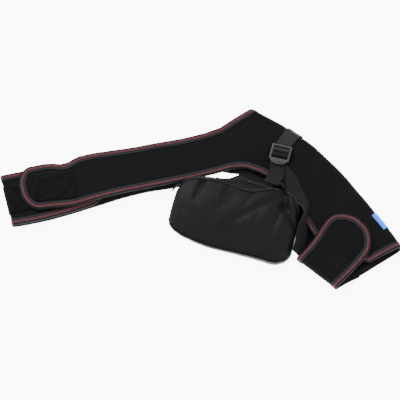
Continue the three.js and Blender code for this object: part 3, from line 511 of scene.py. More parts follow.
def strap_place(plan, table, length, nominal, share, across, narrowed):
    sway = read_table(table, "along", "sway", share) * nominal
    half = read_table(table, "along", "width", share) * nominal * narrowed / 2
    return plan.at(share * length, sway + across * half)


def front_strap_point(share, across):
    tip = tip_share((1 - share) * front_length, front_tip)
    start = seam_gap / front_length
    along = start + share * (1 - start)
    rise = read_table(FRONT_STRAP, "along", "rise", share)
    place = strap_place(front_plan, FRONT_STRAP, front_length, strap_width, along, across, tip)
    return raised(place, between(loop_ply, tab_ply, rise))


front_rows = []
for share in strap_stops(strap_cells, front_tip / front_length):
    front_rows.append([front_strap_point(share, v) for v in strap_columns])
front_strap, front_area = cloth_piece("front_strap_panel", front_rows, neoprene, neoprene_cloth)
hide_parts("chest_strap_front")


# Chest strap behind: it runs under the front strap, turns over at the far end and comes back with a
# rounded end under the tab. Its edges are bound like the rest.
back_reach = 0.427
back_return = 0.190
back_tip = 0.042
back_width = 0.112
back_strap_cells = 60
return_cells = 24
half_turn = range(-90, 91, 15)

BACK_STRAP = named_rows("along sway width", [
    (0, 0, 0.84),
    (0.06, 0.05, 0.77),
    (0.12, 0.02, 0.79),
    (0.215, -0.04, 0.85),
    (0.41, 0, 0.88),
    (0.63, -0.045, 0.92),
    (0.78, -0.075, 0.97),
    (0.92, -0.075, 1),
    (1, -0.065, 0.99),
])


def back_strap_point(share, across, z, narrowed):
    start = seam_gap / back_reach
    along = start + share * (1 - start)
    place = strap_place(back_plan, BACK_STRAP, back_reach, back_width, along, across, narrowed)
    return raised(place, z)


def back_fold_row(columns, lift, turn):
    radius = back_fold + lift
    angle = math.radians(turn)
    z = floor_ply + back_fold + radius * math.sin(angle)
    out = raised(back_plan.along * radius * math.cos(angle), 0)
    return [back_strap_point(1, v, z, 1) + out for v in columns]


back_rows = []
for share in steps(0, 1, back_strap_cells)[:-1]:
    back_rows.append([back_strap_point(share, v, floor_ply, 1) for v in strap_columns])
back_rows += [back_fold_row(strap_columns, 0, turn) for turn in half_turn]
for t in strap_stops(return_cells, back_tip / back_return)[1:]:
    tip = tip_share((1 - t) * back_return, back_tip)
    share = 1 - t * back_return / back_reach
    back_rows.append([back_strap_point(share, v, return_ply, tip) for v in strap_columns])
back_strap, back_area = cloth_piece("back_strap_panel", back_rows, neoprene, neoprene_cloth)
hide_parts("chest_strap_back")


# Arm strap: sewn to the sleeve's back ply, it comes up round the underarm side and its rounded tab
# closes on the front ply.
arm_reach = 0.047
arm_width = 0.100
arm_tab = 0.127
arm_tip = 0.042
arm_fold = 0.0065
arm_fold_slant = 0.0055
arm_lift = 0.0061
arm_root = 0.785
arm_cells = 15
arm_under_rows = 13
arm_slant_end = 0.6
arm_rise_end = 0.3

ARM_UNDER = named_rows("out middle width", [
    (0, 0.785, 1.54),
    (0.45, 0.805, 1.27),
    (0.85, 0.825, 1.04),
    (1, 0.833, 0.96),
])
ARM_TAB = named_rows("out middle width", [
    (0, 0.833, 0.95),
    (0.25, 0.825, 0.98),
    (0.5, 0.81, 1.04),
    (0.7, 0.8, 1.05),
    (0.85, 0.797, 1.02),
    (1, 0.797, 0.98),
])


def arm_seam_across(along):
    share = min(max(along / sleeve_length, seam_share), 1)
    return sleeve_plan.inside(sleeve_edge(share, "back"))[1] + seam_gap


arm_turn = arm_seam_across(arm_root * sleeve_length) + arm_reach


def arm_tab_place(out, v, across):
    middle = read_table(ARM_TAB, "out", "middle", out) * sleeve_length
    half = read_table(ARM_TAB, "out", "width", out) * arm_width / 2
    slant = arm_fold_slant * v * (1 - smoothstep(out, 0, arm_slant_end))
    return sleeve_plan.at(middle + v * half, across - slant)


def arm_tab_point(out, v):
    place = arm_tab_place(out, v, arm_turn - out * arm_tab)
    folded = floor_ply + 2 * arm_fold
    lying = over_ply(place, arm_lift).z
    return raised(place, between(folded, lying, smoothstep(out, 0, arm_rise_end)))


arm_rows = []
for out in steps(0, 1, arm_cells)[:arm_under_rows]:
    middle = read_table(ARM_UNDER, "out", "middle", out) * sleeve_length
    half = read_table(ARM_UNDER, "out", "width", out) * arm_width / 2
    row = []
    for v in strap_columns:
        along = middle + v * half
        across = between(arm_seam_across(along), arm_turn - arm_fold_slant * v, out)
        row.append(raised(sleeve_plan.at(along, across), floor_ply))
    arm_rows.append(row)
for turn in half_turn:
    angle = math.radians(turn)
    z = floor_ply + arm_fold * (1 + math.sin(angle))
    across = arm_turn + arm_fold * math.cos(angle)
    arm_rows.append([raised(arm_tab_place(0, v, across), z) for v in strap_columns])
for t in strap_stops(return_cells, arm_tip / arm_tab)[1:]:
    tip = tip_share((1 - t) * arm_tab, arm_tip)
    arm_rows.append([arm_tab_point(t, v * tip) for v in strap_columns])
arm_strap, arm_area = cloth_piece("arm_strap_panel", arm_rows, neoprene, neoprene_cloth)
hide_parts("arm_strap")


# Bindings: one knitted tape folded round the raw edge of all the joined panels, in one closed run
# that is cut here into a length for each panel. Two rows of thread hold it, with a looper thread
# that crosses between them: red on the outer face, black on the inner one.
tape_reach = 0.012
tape_gap = 0.0004
tape_wall = 0.0006
tape_swell = 0.00016
tape_nose = 0.0007
tape_cells = 8
tape_rib = 0.0012
stitch_pitch = 0.0034
stitch_radius = 0.00044
stitch_rows = (0.0037, 0.0061)
stitch_rise = 0.0001
stitch_dip = 0.0006
nose_run = 0.0024
looper_reach = 0.0005
mitre_least = 0.4
arm_seam_share = 0.59
corner_gap = 0.0005
same_place = 1e-6


# A place on a cloth's edge, with the cloth's normal and the way to the next point inside
Stop = namedtuple("Stop", "point normal lead")


def grid_normal(rows, i, j):
    down = rows[min(i + 1, len(rows) - 1)][j] - rows[max(i - 1, 0)][j]
    right = rows[i][min(j + 1, len(rows[0]) - 1)] - rows[i][max(j - 1, 0)]
    return down.cross(right).normalized()


def edge_stops(rows, side, outer=1):
    """One side of a grid: start and end are rows, first and last are columns. outer is 1 where the
    grid's normals point out of the brace, and -1 where they point into it."""
    last_row = len(rows) - 1
    last = len(rows[0]) - 1
    if side in ("start", "end"):
        i = 0 if side == "start" else last_row
        cells = [(i, j, 1 if i == 0 else i - 1, j) for j in range(last + 1)]
    else:
        j = 0 if side == "first" else last
        cells = [(i, j, i, 1 if j == 0 else j - 1) for i in range(last_row + 1)]
    stops = []
    for i, j, inner_i, inner_j in cells:
        lead = (rows[inner_i][inner_j] - rows[i][j]).normalized()
        stops.append(Stop(rows[i][j], grid_normal(rows, i, j) * outer, lead))
    return stops


def end_to_end(*sides):
    """Sides in one run: a corner that two of them share is kept once."""
    joined = []
    for side in sides:
        if joined and (side[0].point - joined[-1].point).length < corner_gap:
            joined.pop()
        joined += side
    return joined


def strap_outline(rows, outer):
    """Edge of a strap that starts at a seam: one side, its rounded tip, the other side back."""
    sides = [edge_stops(rows, side, outer) for side in ("first", "end", "last")]
    return end_to_end(sides[0], sides[1], sides[2][::-1])


def ways_in(stops):
    """The way into the cloth at each stop of a closed run, mitred so a tape keeps its reach."""
    squares = []
    for a, b in zip(stops, stops[1:] + stops[:1]):
        way = (b.point - a.point).cross(a.normal + b.normal).normalized()
        squares.append(-way if way.dot(a.lead + b.lead) < 0 else way)
    ways = []
    for k, after in enumerate(squares):
        before = squares[k - 1]
        ways.append((before + after) / max(1 + before.dot(after), mitre_least))
    return ways


def tape_section():
    """Folded tape, from its upper inner edge round the cloth's edge to its lower inner edge."""
    half = neoprene / 2 + tape_gap + tape_wall / 2
    section = []
    turns = steps(0, math.pi, tape_cells)
    for turn in turns:
        section.append((tape_reach * (1 - turn / math.pi), half + tape_swell * math.sin(turn)))
    below = [(x, -y) for x, y in reversed(section)]
    for turn in turns[1:-1]:
        section.append((-tape_nose * math.sin(turn), half * math.cos(turn)))
    return section + below


def bound_tape(coloured):
    """Dark tape, grey at both sides of the red looper thread that crosses between the stitch rows
    on the brace's outer face, with a lighter strip along its inner edge there that is painted
    highlight where the tape steps down onto the cloth. The inner face is plain."""
    finish = Finish("bound_tape", roughness=0.85, shine=0.08, sheen=0.02)
    uv, across, along = finish.cloth_place()
    rib = wave(along, tape_rib)
    from_edge = across.math("ABSOLUTE")
    outside = across.math("LESS_THAN", 0.0)
    fuzz = finish.mottle(uv, 1300.0, 2.0)
    # Along the tape's inner edge on the outer face: a lighter strip of painted highlight where the
    # tape steps down onto the cloth.
    inner = from_edge.math("GREATER_THAN", 0.0122) * outside
    outer = from_edge.math("GREATER_THAN", 0.0035) * outside
    tone = rib * 0.5 + fuzz * 0.5
    black = finish.blend(tone, (0.003, 0.0031, 0.0035), (0.009, 0.0095, 0.01))
    grey = finish.blend(tone, (0.007, 0.0076, 0.0078), (0.017, 0.0185, 0.0182))
    painted_step_highlight = finish.blend(tone, (0.011, 0.0125, 0.0122), (0.023, 0.0262, 0.025))
    edge = finish.blend(inner, finish.blend(outer, black, grey), painted_step_highlight)
    zigzag = (along * (1 / stitch_pitch)).math("PINGPONG", 1.0) * (stitch_rows[1] - stitch_rows[0])
    aside = (from_edge - (zigzag + (stitch_rows[0] + nose_run))).math("ABSOLUTE")
    thread = aside.math("LESS_THAN", looper_reach) * outside
    finish.dye(thread * 0.45, edge, coloured)
    finish.bump(rib * 0.4 + fuzz * 0.3 + thread, 0.0002, 0.7)
    return finish.material


def sewing_thread(name, dark, light):
    finish = Finish(name, roughness=0.6, shine=0.15)
    tone = finish.mottle(finish.object_place(), 2500.0, 1.0)
    finish.dye(tone, dark, light)
    return finish.material


red_thread = sewing_thread("red_thread", (0.16, 0.024, 0.037), (0.35, 0.075, 0.108))
black_thread = sewing_thread("black_thread", (0.004, 0.004, 0.005), (0.016, 0.016, 0.018))
binding_tape = bound_tape((0.09, 0.02, 0.028))


def tape_piece(name, stops, ways):
    section = tape_section()
    rows = []
    for stop, way in zip(stops, ways):
        rows.append([stop.point + way * x + stop.normal * y for x, y in section])
    piece, _ = cloth_piece(name, rows, tape_wall, binding_tape)
    return piece


def thread_piece(name, paths, radius, material, roundness=1):
    """Threads of one thickness, each along a line of places."""
    curve = bpy.data.curves.new(name, "CURVE")
    curve.dimensions = "3D"
    curve.bevel_depth = radius
    curve.bevel_resolution = roundness
    curve.use_fill_caps = True
    for path in paths:
        spline = curve.splines.new("POLY")
        spline.points.add(len(path) - 1)
        for point, place in zip(spline.points, path):
            point.co = (*place, 1)
    curve.materials.append(material)
    piece = linked(name, curve)
    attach(piece, "root")
    return piece


def stitch_path(places, ups, pitch, dip):
    """Places along a line with the way up at each, made into a line of stitches: the thread rises
    over each stitch and dips under between stitches."""
    lengths = [0.0]
    for a, b in zip(places, places[1:]):
        lengths.append(lengths[-1] + (b - a).length)
    count = max(int(lengths[-1] / pitch), 1)
    path = []
    i = 0
    for k in range(count):
        for share, lift in ((0.04, -dip), (0.22, stitch_rise), (0.74, stitch_rise), (0.94, -dip)):
            at = (k + share) * lengths[-1] / count
            while i < len(lengths) - 2 and lengths[i + 1] < at:
                i += 1
            t = (at - lengths[i]) / max(lengths[i + 1] - lengths[i], 1e-9)
            up = ups[i].lerp(ups[i + 1], t).normalized()
            path.append(places[i].lerp(places[i + 1], t) + up * lift)
    return path


def tape_stitches(name, stops, ways, side, thread):
    """Two rows of stitches on one face of a tape: side is 1 outside and -1 inside."""
    half = neoprene / 2 + tape_gap + tape_wall
    ups = [s.normal * side for s in stops]
    paths = []
    for inset in stitch_rows:
        places = [s.point + w * inset + up * half for s, w, up in zip(stops, ways, ups)]
        paths.append(stitch_path(places, ups, stitch_pitch, stitch_dip))
    piece = thread_piece(name, paths, stitch_radius, thread)
    return piece


underarm_front_edge = edge_stops(sleeve_rows[seam_cells:], "first")
sleeve_front_edge = end_to_end(underarm_front_edge, edge_stops(sleeve_rows, "end"))
bound_rows = [row for row, share in zip(sleeve_rows, sleeve_shares) if share <= arm_seam_share]
underarm_back_edge = edge_stops(bound_rows[seam_cells:], "last")[::-1]
neck_edge = edge_stops(sleeve_rows, "start")[::-1]
BOUND_EDGES = named_rows("name node stops", [
    ("sleeve_tape", "sleeve_binding", sleeve_front_edge),
    ("arm_strap_tape", "arm_strap_binding", strap_outline(arm_rows, -1)[::-1]),
    ("underarm_back_tape", "underarm_back_binding", underarm_back_edge),
    ("back_strap_tape", "chest_back_binding", strap_outline(back_rows, 1)),
    ("neck_tape", "neck_binding", neck_edge),
    ("front_strap_tape", "chest_front_binding", strap_outline(front_rows, -1)[::-1]),
])
tape_run = []
tape_starts = []
for edge in BOUND_EDGES:
    tape_run = end_to_end(tape_run, edge["stops"])
    tape_starts.append(len(tape_run) - len(edge["stops"]))
if (tape_run[-1].point - tape_run[0].point).length < corner_gap:
    tape_run.pop()
tape_ways = ways_in(tape_run)
tape_run.append(tape_run[0])
tape_ways.append(tape_ways[0])
tape_ends = tape_starts[1:] + [len(tape_run) - 1]

for edge, start, end in zip(BOUND_EDGES, tape_starts, tape_ends):
    stops = tape_run[start:end + 1]
    ways = tape_ways[start:end + 1]
    tape = tape_piece(edge["name"], stops, ways)
    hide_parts(edge["node"])
    red = tape_stitches(edge["name"] + "_red_stitches", stops, ways, 1, red_thread)
    black = tape_stitches(edge["name"] + "_black_stitches", stops, ways, -1, black_thread)


seam_pitch = 0.0013
seam_reach = 0.0018
fine_radius = 0.0003


def flat_seam(name, start, end, up):
    """Looper thread that crosses back and forth over the seam of two panels that butt."""
    run = end - start
    aside = run.normalized().cross(up) * seam_reach
    count = int(run.length / seam_pitch)
    path = []
    for k in range(count + 1):
        side = 1 if k % 2 else -1
        path.append(start + run * (k / count) + aside * side + up * (neoprene / 2 + stitch_rise))
    thread_piece(name, [path], fine_radius, black_thread)


upward = Vector((0, 0, 1))
flat_seam("front_seam_thread", sleeve_rows[0][0], sleeve_rows[seam_cells][0], upward)
flat_seam("back_seam_thread", sleeve_rows[0][-1], sleeve_rows[seam_cells][-1], -upward)


# Hook and loop patches: a napped black loop patch round the back strap's fold, and hook patches
# under the two tabs. A plush patch is sewn on top of the front tab.
patch_rise = neoprene / 2 + touch + patch_wall / 2
tab_patch_width = 0.062
tab_pile_half = 0.0305
tab_pile_round = 0.17
tab_pile_shares = (0.742, 0.967)
pile_stitch_pitch = 0.003
pile_stitch_dip = 0.0005
pile_columns = even_columns(6)
rounded_rows = 11
hook_cells = 15
loop_patch_run = 0.8
hook_columns = range(3, 14)


def napped_pile():
    """Loop pile: a deep, soft nap that takes little light, brushed in uneven patches."""
    finish = Finish("napped_pile", roughness=1.0, shine=0.02, sheen=0.01)
    uv, _, _ = finish.cloth_place()
    nap = finish.mottle(uv, 1500.0, 3.0)
    brushed = finish.mottle(uv, 60.0, 3.0)
    tone = nap * 0.8 + brushed * 0.7 - 0.55
    finish.dye(tone, (0.003, 0.003, 0.0038), (0.016, 0.016, 0.018))
    finish.bump(nap + brushed * 0.3, 0.0006, 0.9)
    return finish.material


pile = napped_pile()


def patch_piece(name, node, rows):
    patch, _ = cloth_piece(name, rows, patch_wall, pile)
    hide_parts(node)


def hook_rows(rows):
    """Hook patch under a strap's tab, between its bindings and short of its round end."""
    out = []
    end = len(rows) - rounded_rows
    for i in range(end - hook_cells, end + 1):
        row = []
        for j in hook_columns:
            normal = grid_normal(rows, i, j)
            down = normal if normal.z < 0 else -normal
            row.append(rows[i][j] + down * patch_rise)
        out.append(row)
    return out


def tab_pile_row(t, columns, lift):
    """Row of the plush patch on the tab, which is rounded like the tab inside its binding."""
    share = between(*tab_pile_shares, t)
    half = tab_pile_half * tip_share(1 - t, tab_pile_round)
    sway = read_table(FRONT_STRAP, "along", "sway", share) * strap_width
    places = [front_plan.at(share * front_length, sway + v * half) for v in columns]
    return [raised(place, tab_ply + lift) for place in places]


pile_shares = strap_stops(14, tab_pile_round)
tab_pile_rows = [tab_pile_row(t, pile_columns, patch_rise) for t in pile_shares]
patch_piece("tab_top_pile", "tab_top_patch", tab_pile_rows)
pile_edge = [tab_pile_row(t, (-0.95, 0.95), patch_rise + patch_wall / 2) for t in pile_shares]
pile_outline = [row[0] for row in pile_edge] + [row[1] for row in reversed(pile_edge)]
pile_ups = [upward] * len(pile_outline)
pile_stitches = [stitch_path(pile_outline, pile_ups, pile_stitch_pitch, pile_stitch_dip)]
thread_piece("tab_pile_stitches", pile_stitches, fine_radius, black_thread)

patch_piece("tab_hook_pile", "tab_hook_patch", hook_rows(front_rows))
patch_piece("arm_hook_pile", "arm_hook_patch", hook_rows(arm_rows))

patch_columns = [v * tab_patch_width / back_width for v in pile_columns]
loop_rows = [back_fold_row(patch_columns, patch_rise, turn) for turn in range(-18, 91, 12)]
for back in steps(0, loop_patch_run, 16)[1:]:
    share = 1 - back * (back_return - back_tip) / back_reach
    z = return_ply + patch_rise
    loop_rows.append([back_strap_point(share, v, z, 1) for v in patch_columns])
patch_piece("loop_pile", "loop_patch", loop_rows)


# Side label: a small blue woven label folded over the sleeve's fold and sewn down, left blank.
label_length = 0.038
label_place = 0.842
label_wall = 0.0008


def woven_label():
    finish = Finish("woven_label", roughness=0.6, shine=0.2)
    uv, across, along = finish.cloth_place()
    threads = wave(across, 0.0007) * 0.5 + wave(along, 0.0005) * 0.5
    fuzz = finish.mottle(uv, 800.0, 2.0)
    tone = threads * 0.5 + fuzz * 0.5
    finish.dye(tone, (0.01, 0.135, 0.85), (0.03, 0.225, 0.97))
    finish.bump(threads, 0.0001, 0.7)
    return finish.material


label_rise = neoprene / 2 + touch + label_wall / 2
label_rows = []
for v in even_columns(8):
    share = label_place + v / 2 * label_length / sleeve_length
    label_rows.append([on_fold(share, turn, label_rise) for turn in range(102, -31, -7)])
label, _ = cloth_piece("blue_label", label_rows, label_wall, woven_label())
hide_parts("side_label")


# Ladder-lock buckle: one moulding of dark grey plastic, with two cross bars, three slots and a
# curved lip with grip ribs to lift it by.
webbing_width = 0.030
webbing_wall = 0.0014
buckle_width = 0.039
buckle_length = 0.032
buckle_rail = 0.003
buckle_thick = 0.0034
buckle_bar = 0.0032
buckle_lip = 0.009
buckle_heading = -105
buckle_along = 0.272
buckle_across = 0.25
buckle_clear = 0.0006
slot_clear = 0.001
buckle_round = 0.00055
lip_ease = 0.0006
lip_least = 0.003
lip_cuts = 11
grip_count = 5
grip_start = 0.0012
grip_pitch = 0.0013
grip_width = 0.0005
grip_rise = 0.00035
grip_sink = 0.0002
grip_inset = 0.0028
webbing_rise = 0.0025 + touch + webbing_wall / 2
tail_rise = webbing_rise + webbing_wall + touch
bar_height = tail_rise + webbing_wall / 2 + touch + buckle_thick / 2 + buckle_clear
bar_turn = math.hypot(buckle_bar, buckle_thick) / 2 + 2 * touch + webbing_wall / 2
buckle_slot = (buckle_length - 2 * buckle_rail - 2 * buckle_bar) / 3
upper_bar = buckle_rail + buckle_slot + buckle_bar / 2
lower_bar = upper_bar + buckle_slot + buckle_bar


def on_sleeve(along, across):
    """A place on the sleeve, in shares of its length and width."""
    return sleeve_plan.at(along * sleeve_length, across * sleeve_width)


buckle_axis = Plan(Vector((0, 0)), buckle_heading, 1).along
buckle_top = on_sleeve(buckle_along, buckle_across) - buckle_axis * buckle_length / 2
top_point = over_ply(buckle_top, 0)
foot_point = over_ply(buckle_top + buckle_axis * buckle_length, 0)
buckle_down = (foot_point - top_point).normalized()
buckle_right = upward.cross(buckle_down).normalized()
buckle_up = buckle_down.cross(buckle_right).normalized()
buckle_turn = Matrix((buckle_down, buckle_right, buckle_up)).transposed().to_4x4()
buckle_frame = Matrix.Translation(top_point) @ buckle_turn


def moulded_plastic(name, dark, light, shine):
    """Matt moulded nylon, faintly pebbled and rubbed lighter in places."""
    finish = Finish(name, roughness=0.5, shine=shine)
    place = finish.object_place()
    pebble = finish.mottle(place, 2200.0, 2.0)
    rubbed = finish.mottle(place, 90.0, 3.0)
    finish.dye(rubbed, dark, light)
    finish.roughness(rubbed * 0.2 + 0.36)
    finish.bump(pebble, 0.00006, 0.6)
    return finish.material


buckle_plastic = moulded_plastic(
    "buckle_plastic", (0.017, 0.017, 0.019), (0.038, 0.038, 0.042), 0.3
)


def solid_bar(shape, low, high):
    """Adds a box between two corners."""
    corners = bmesh.ops.create_cube(shape, size=1)["verts"]
    bmesh.ops.scale(shape, verts=corners, vec=Vector(high) - Vector(low))
    bmesh.ops.translate(shape, verts=corners, vec=(Vector(low) + Vector(high)) / 2)


def plastic_piece(name, shape, place, bevel, plastic):
    """A moulded piece with rounded edges, put in its place."""
    bmesh.ops.transform(shape, matrix=place, verts=shape.verts)
    bmesh.ops.recalc_face_normals(shape, faces=shape.faces)
    mesh = bpy.data.meshes.new(name)
    shape.to_mesh(mesh)
    shape.free()
    mesh.materials.append(plastic)
    for face in mesh.polygons:
        face.use_smooth = True
    piece = linked(name, mesh)
    rounding = piece.modifiers.new("rounding", "BEVEL")
    rounding.width = bevel
    rounding.segments = 3
    rounding.limit_method = "ANGLE"
    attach(piece, "root")
    return piece


buckle = bmesh.new()
low = bar_height - buckle_thick / 2
high = bar_height + buckle_thick / 2
window = webbing_width / 2 + slot_clear
cross_stops = [0, buckle_rail]
for bar in (upper_bar, lower_bar):
    cross_stops += [bar - buckle_bar / 2, bar + buckle_bar / 2]
cross_stops += [buckle_length - buckle_rail, buckle_length]
side_stops = [-buckle_width / 2, -window, window, buckle_width / 2]
across_cells = len(side_stops) - 1
along_cells = len(cross_stops) - 1
bmesh.ops.create_grid(buckle, x_segments=along_cells, y_segments=across_cells, size=1)
for v in buckle.verts:
    i = round((v.co.x + 1) / 2 * along_cells)
    j = round((v.co.y + 1) / 2 * across_cells)
    v.co = (cross_stops[i], side_stops[j], low)
open_faces = []
for face in buckle.faces:
    middle = face.calc_center_median()
    for k in (1, 3, 5):
        if abs(middle.y) < window and cross_stops[k] < middle.x < cross_stops[k + 1]:
            open_faces.append(face)
bmesh.ops.delete(buckle, geom=open_faces, context="FACES")


def lip_rim():
    """The edges at the buckle's foot, between its side rails."""
    rim = []
    for edge in buckle.edges:
        at_foot = all(abs(v.co.x - buckle_length) < same_place for v in edge.verts)
        if at_foot and all(abs(v.co.y) < window + same_place for v in edge.verts):
            rim.append(edge)
    return rim


def new_points(made):
    return [g for g in made["geom"] if isinstance(g, bmesh.types.BMVert)]


bmesh.ops.subdivide_edges(buckle, edges=lip_rim(), cuts=lip_cuts)
for v in new_points(bmesh.ops.extrude_edge_only(buckle, edges=lip_rim())):
    aside = v.co.y / (window + lip_ease)
    v.co.x += buckle_lip * math.sqrt(max(1 - aside ** 2, lip_least))
plate = list(buckle.faces)
for v in new_points(bmesh.ops.extrude_face_region(buckle, geom=plate, use_keep_orig=True)):
    v.co.z = high
for k in range(grip_count):
    start = grip_start + grip_pitch * k
    reach = window * math.sqrt(1 - (start / buckle_lip) ** 2) - grip_inset
    x = buckle_length + start
    solid_bar(buckle, (x, -reach, high - grip_sink), (x + grip_width, reach, high + grip_rise))
buckle_piece = plastic_piece("buckle", buckle, buckle_frame, buckle_round, buckle_plastic)
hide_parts("ladder_lock_buckle")


# Webbing: 30 mm woven nylon. One length is sewn under the sleeve's fold and goes round the upper
# bar. The other goes round the lower bar: its free tail lies on the sleeve and it runs down to the
# pouch.
TAIL_WEBBING = named_rows("along across heading rise", [
    (0.366, 0.77, -111, 0.45),
    (0.35, 0.64, -110, 0.25),
    (0.334, 0.53, -108, 0.06),
])
LOAD_WEBBING = named_rows("along across heading on_edge ply", [
    (0.392, 0.44, -92, 0, 1),
    (0.425, 0.495, -86, 0, 1),
    (0.465, 0.545, -80, 0, 1),
    (0.505, 0.595, -80, 0.15, 1),
    (0.546, 0.638, -86, 0.4, 1),
    (0.586, 0.729, -92, 0.8, 1),
    (0.607, 0.82, -95, 0.84, 0.95),
    (0.626, 0.917, -96, 0.66, 0.45),
    (0.651, 1.017, -98, 0.56, 0.1),
    (0.673, 1.117, -103, 0.56, 0),
    (0.692, 1.215, -107, 0.56, 0),
    (0.705, 1.31, -111, 0.56, 0),
])
webbing_columns = even_columns(6)
webbing_pitch = 0.0025
anchor_along = 0.232
anchor_turns = (90, 60, 30, 0, -26, -52)


def woven_webbing(name, dark, light, shine, sheen):
    """Webbing woven in raised ribs along its length, crossed by fine picks."""
    finish = Finish(name, roughness=0.65, shine=shine, sheen=sheen)
    uv, across, along = finish.cloth_place()
    slant = wave(along + across.math("PINGPONG", webbing_pitch) * 1.2, 0.0016)
    rib = wave(across, webbing_pitch)
    weave = slant * 0.6 + rib * 0.6
    fuzz = finish.mottle(uv, 1200.0, 2.0)
    tone = weave * 0.6 + fuzz * 0.4 - 0.1
    finish.dye(tone, dark, light)
    finish.bump(weave + fuzz * 0.3, 0.00035, 0.8)
    return finish.material


sewn_webbing = woven_webbing(
    "sewn_webbing", (0.0032, 0.0032, 0.0041), (0.0138, 0.0138, 0.0168), 0.17, 0.034
)
# The same webbing as the sewn length, made darker and less glossy as painted shade: this length
# lies in the shadow under the buckle's lip and beside the pouch.
shaded_loose_webbing = woven_webbing(
    "shaded_loose_webbing", (0.0022, 0.0022, 0.003), (0.0094, 0.0095, 0.0118), 0.1, 0.015
)


def buckle_row(along, height):
    """The webbing's row of points at a place along the buckle."""
    row = [Vector((along, v * webbing_width / 2, height)) for v in webbing_columns]
    return [buckle_frame @ point for point in row]


def bar_rows(bar, start, end):
    """The webbing's rows round a cross bar, between two angles from its top."""
    rows = []
    for angle in steps(math.radians(start), math.radians(end), 8):
        along = bar + bar_turn * math.sin(angle)
        rows.append(buckle_row(along, bar_height + bar_turn * math.cos(angle)))
    return rows


def webbing_row(place, on_edge, ply, rise):
    """The webbing's row of points at a place on the sleeve: ply is 1 on its front ply and 0 on the
    table, and on_edge is 0 where the webbing lies flat and 1 where it stands on its edge."""
    run = Plan(on_sleeve(place["along"], place["across"]), place["heading"], 1)
    lean = on_edge * math.pi / 2
    row = []
    for v in webbing_columns:
        reach = v * webbing_width / 2
        point = run.at(0, reach * math.cos(lean))
        z = between(floor_ply, over_ply(point, 0).z, ply) + rise
        row.append(raised(point, z - reach * math.sin(lean)))
    return row


def smooth_rows(rows, steps):
    """More rows between the given ones, on a smooth curve through them."""
    out = []
    last = len(rows) - 1
    for i in range(last):
        near = list(zip(rows[max(i - 1, 0)], rows[i], rows[i + 1], rows[min(i + 2, last)]))
        for k in range(steps):
            t = k / steps
            out.append([curve_between(b, c, (c - a) / 2, (d - b) / 2, t) for a, b, c, d in near])
    return out + [rows[last]]


def webbing_piece(name, node, rows, cloth):
    piece, _ = cloth_piece(name, smooth_rows(rows, 4), webbing_wall, cloth)
    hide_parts(node)


anchor_places = [anchor_along + v * webbing_width / 2 / sleeve_length for v in webbing_columns]
anchor_crest = []
for turn in anchor_turns:
    anchor_crest.append([on_fold(share, turn, webbing_rise) for share in anchor_places])
anchor_meets = buckle_row(-0.001, webbing_rise + touch)
anchor_rows = bar_rows(upper_bar, 84, -70)
anchor_rows += [buckle_row(buckle_rail + 0.001, webbing_rise + 2 * touch), anchor_meets]
for t in (0.3, 0.65):
    ends = zip(anchor_meets, anchor_crest[0])
    anchor_rows.append([over_ply(between(p, q, t), webbing_rise) for p, q in ends])
webbing_piece("anchor_webbing", "webbing_anchor", anchor_rows + anchor_crest, sewn_webbing)

adjust_rows = []
for row in TAIL_WEBBING:
    adjust_rows.append(webbing_row(row, 0, 1, tail_rise + row["rise"] * webbing_width))
adjust_rows += [buckle_row(buckle_length + buckle_lip, tail_rise)]
adjust_rows += [buckle_row(buckle_length - buckle_rail, tail_rise)]
adjust_rows += bar_rows(lower_bar, 84, -84)
adjust_rows += [buckle_row(lower_bar - bar_turn + 0.001, webbing_rise + 0.0022)]
adjust_rows += [buckle_row(lower_bar, webbing_rise), buckle_row(buckle_length, webbing_rise)]
for row in LOAD_WEBBING:
    standing = webbing_width / 2 * math.sin(row["on_edge"] * math.pi / 2)
    adjust_rows.append(webbing_row(row, row["on_edge"], row["ply"], webbing_rise + standing))
webbing_piece("adjusting_webbing", "webbing_adjust", adjust_rows, shaded_loose_webbing)


# Pouch: a box-shaped bag of black nylon with a padded front panel, a zipped gusset round its top
# and piping along its seams. It lies on its back, half full of air, its cloth slack and creased.
pouch_length = 0.245
pouch_width = 0.130
pouch_depth = 0.045
pouch_start = (0.0645, -0.053)
pouch_heading = -15
pouch_plan = Plan(Vector(pouch_start) - table_middle, pouch_heading, 1)
panel_swell = 0.16
gusset_drop = 0.62
gusset_curve = 1.6
gusset_swell = 0.05
panel_cells = 40
gusset_cells = 16
pouch_cells = 110
end_spreads = (0.1, 0.55, 0.86)
back_heel = 0.16
back_tuck = 0.02

POUCH = named_rows("along front top back lift heel", [
    (-0.5, -0.2, 0.25, 0.24, 0.36, 0.12),
    (-0.47, -0.28, 0.36, 0.38, 0.5, 0.14),
    (-0.41, -0.36, 0.45, 0.5, 0.66, 0.16),
    (-0.3, -0.43, 0.475, 0.61, 0.78, 0.2),
    (-0.18, -0.475, 0.48, 0.62, 0.84, 0.22),
    (-0.13, -0.485, 0.47, 0.67, 0.85, 0.22),
    (-0.04, -0.49, 0.45, 0.785, 0.84, 0.22),
    (0.05, -0.49, 0.435, 0.76, 0.84, 0.22),
    (0.12, -0.495, 0.46, 0.725, 0.86, 0.24),
    (0.2, -0.5, 0.52, 0.66, 0.88, 0.26),
    (0.3, -0.51, 0.56, 0.55, 0.88, 0.28),
    (0.38, -0.515, 0.53, 0.45, 0.84, 0.28),
    (0.44, -0.47, 0.44, 0.34, 0.74, 0.26),
    (0.48, -0.4, 0.3, 0.2, 0.58, 0.24),
    (0.5, -0.32, 0.17, 0.12, 0.42, 0.22),
])
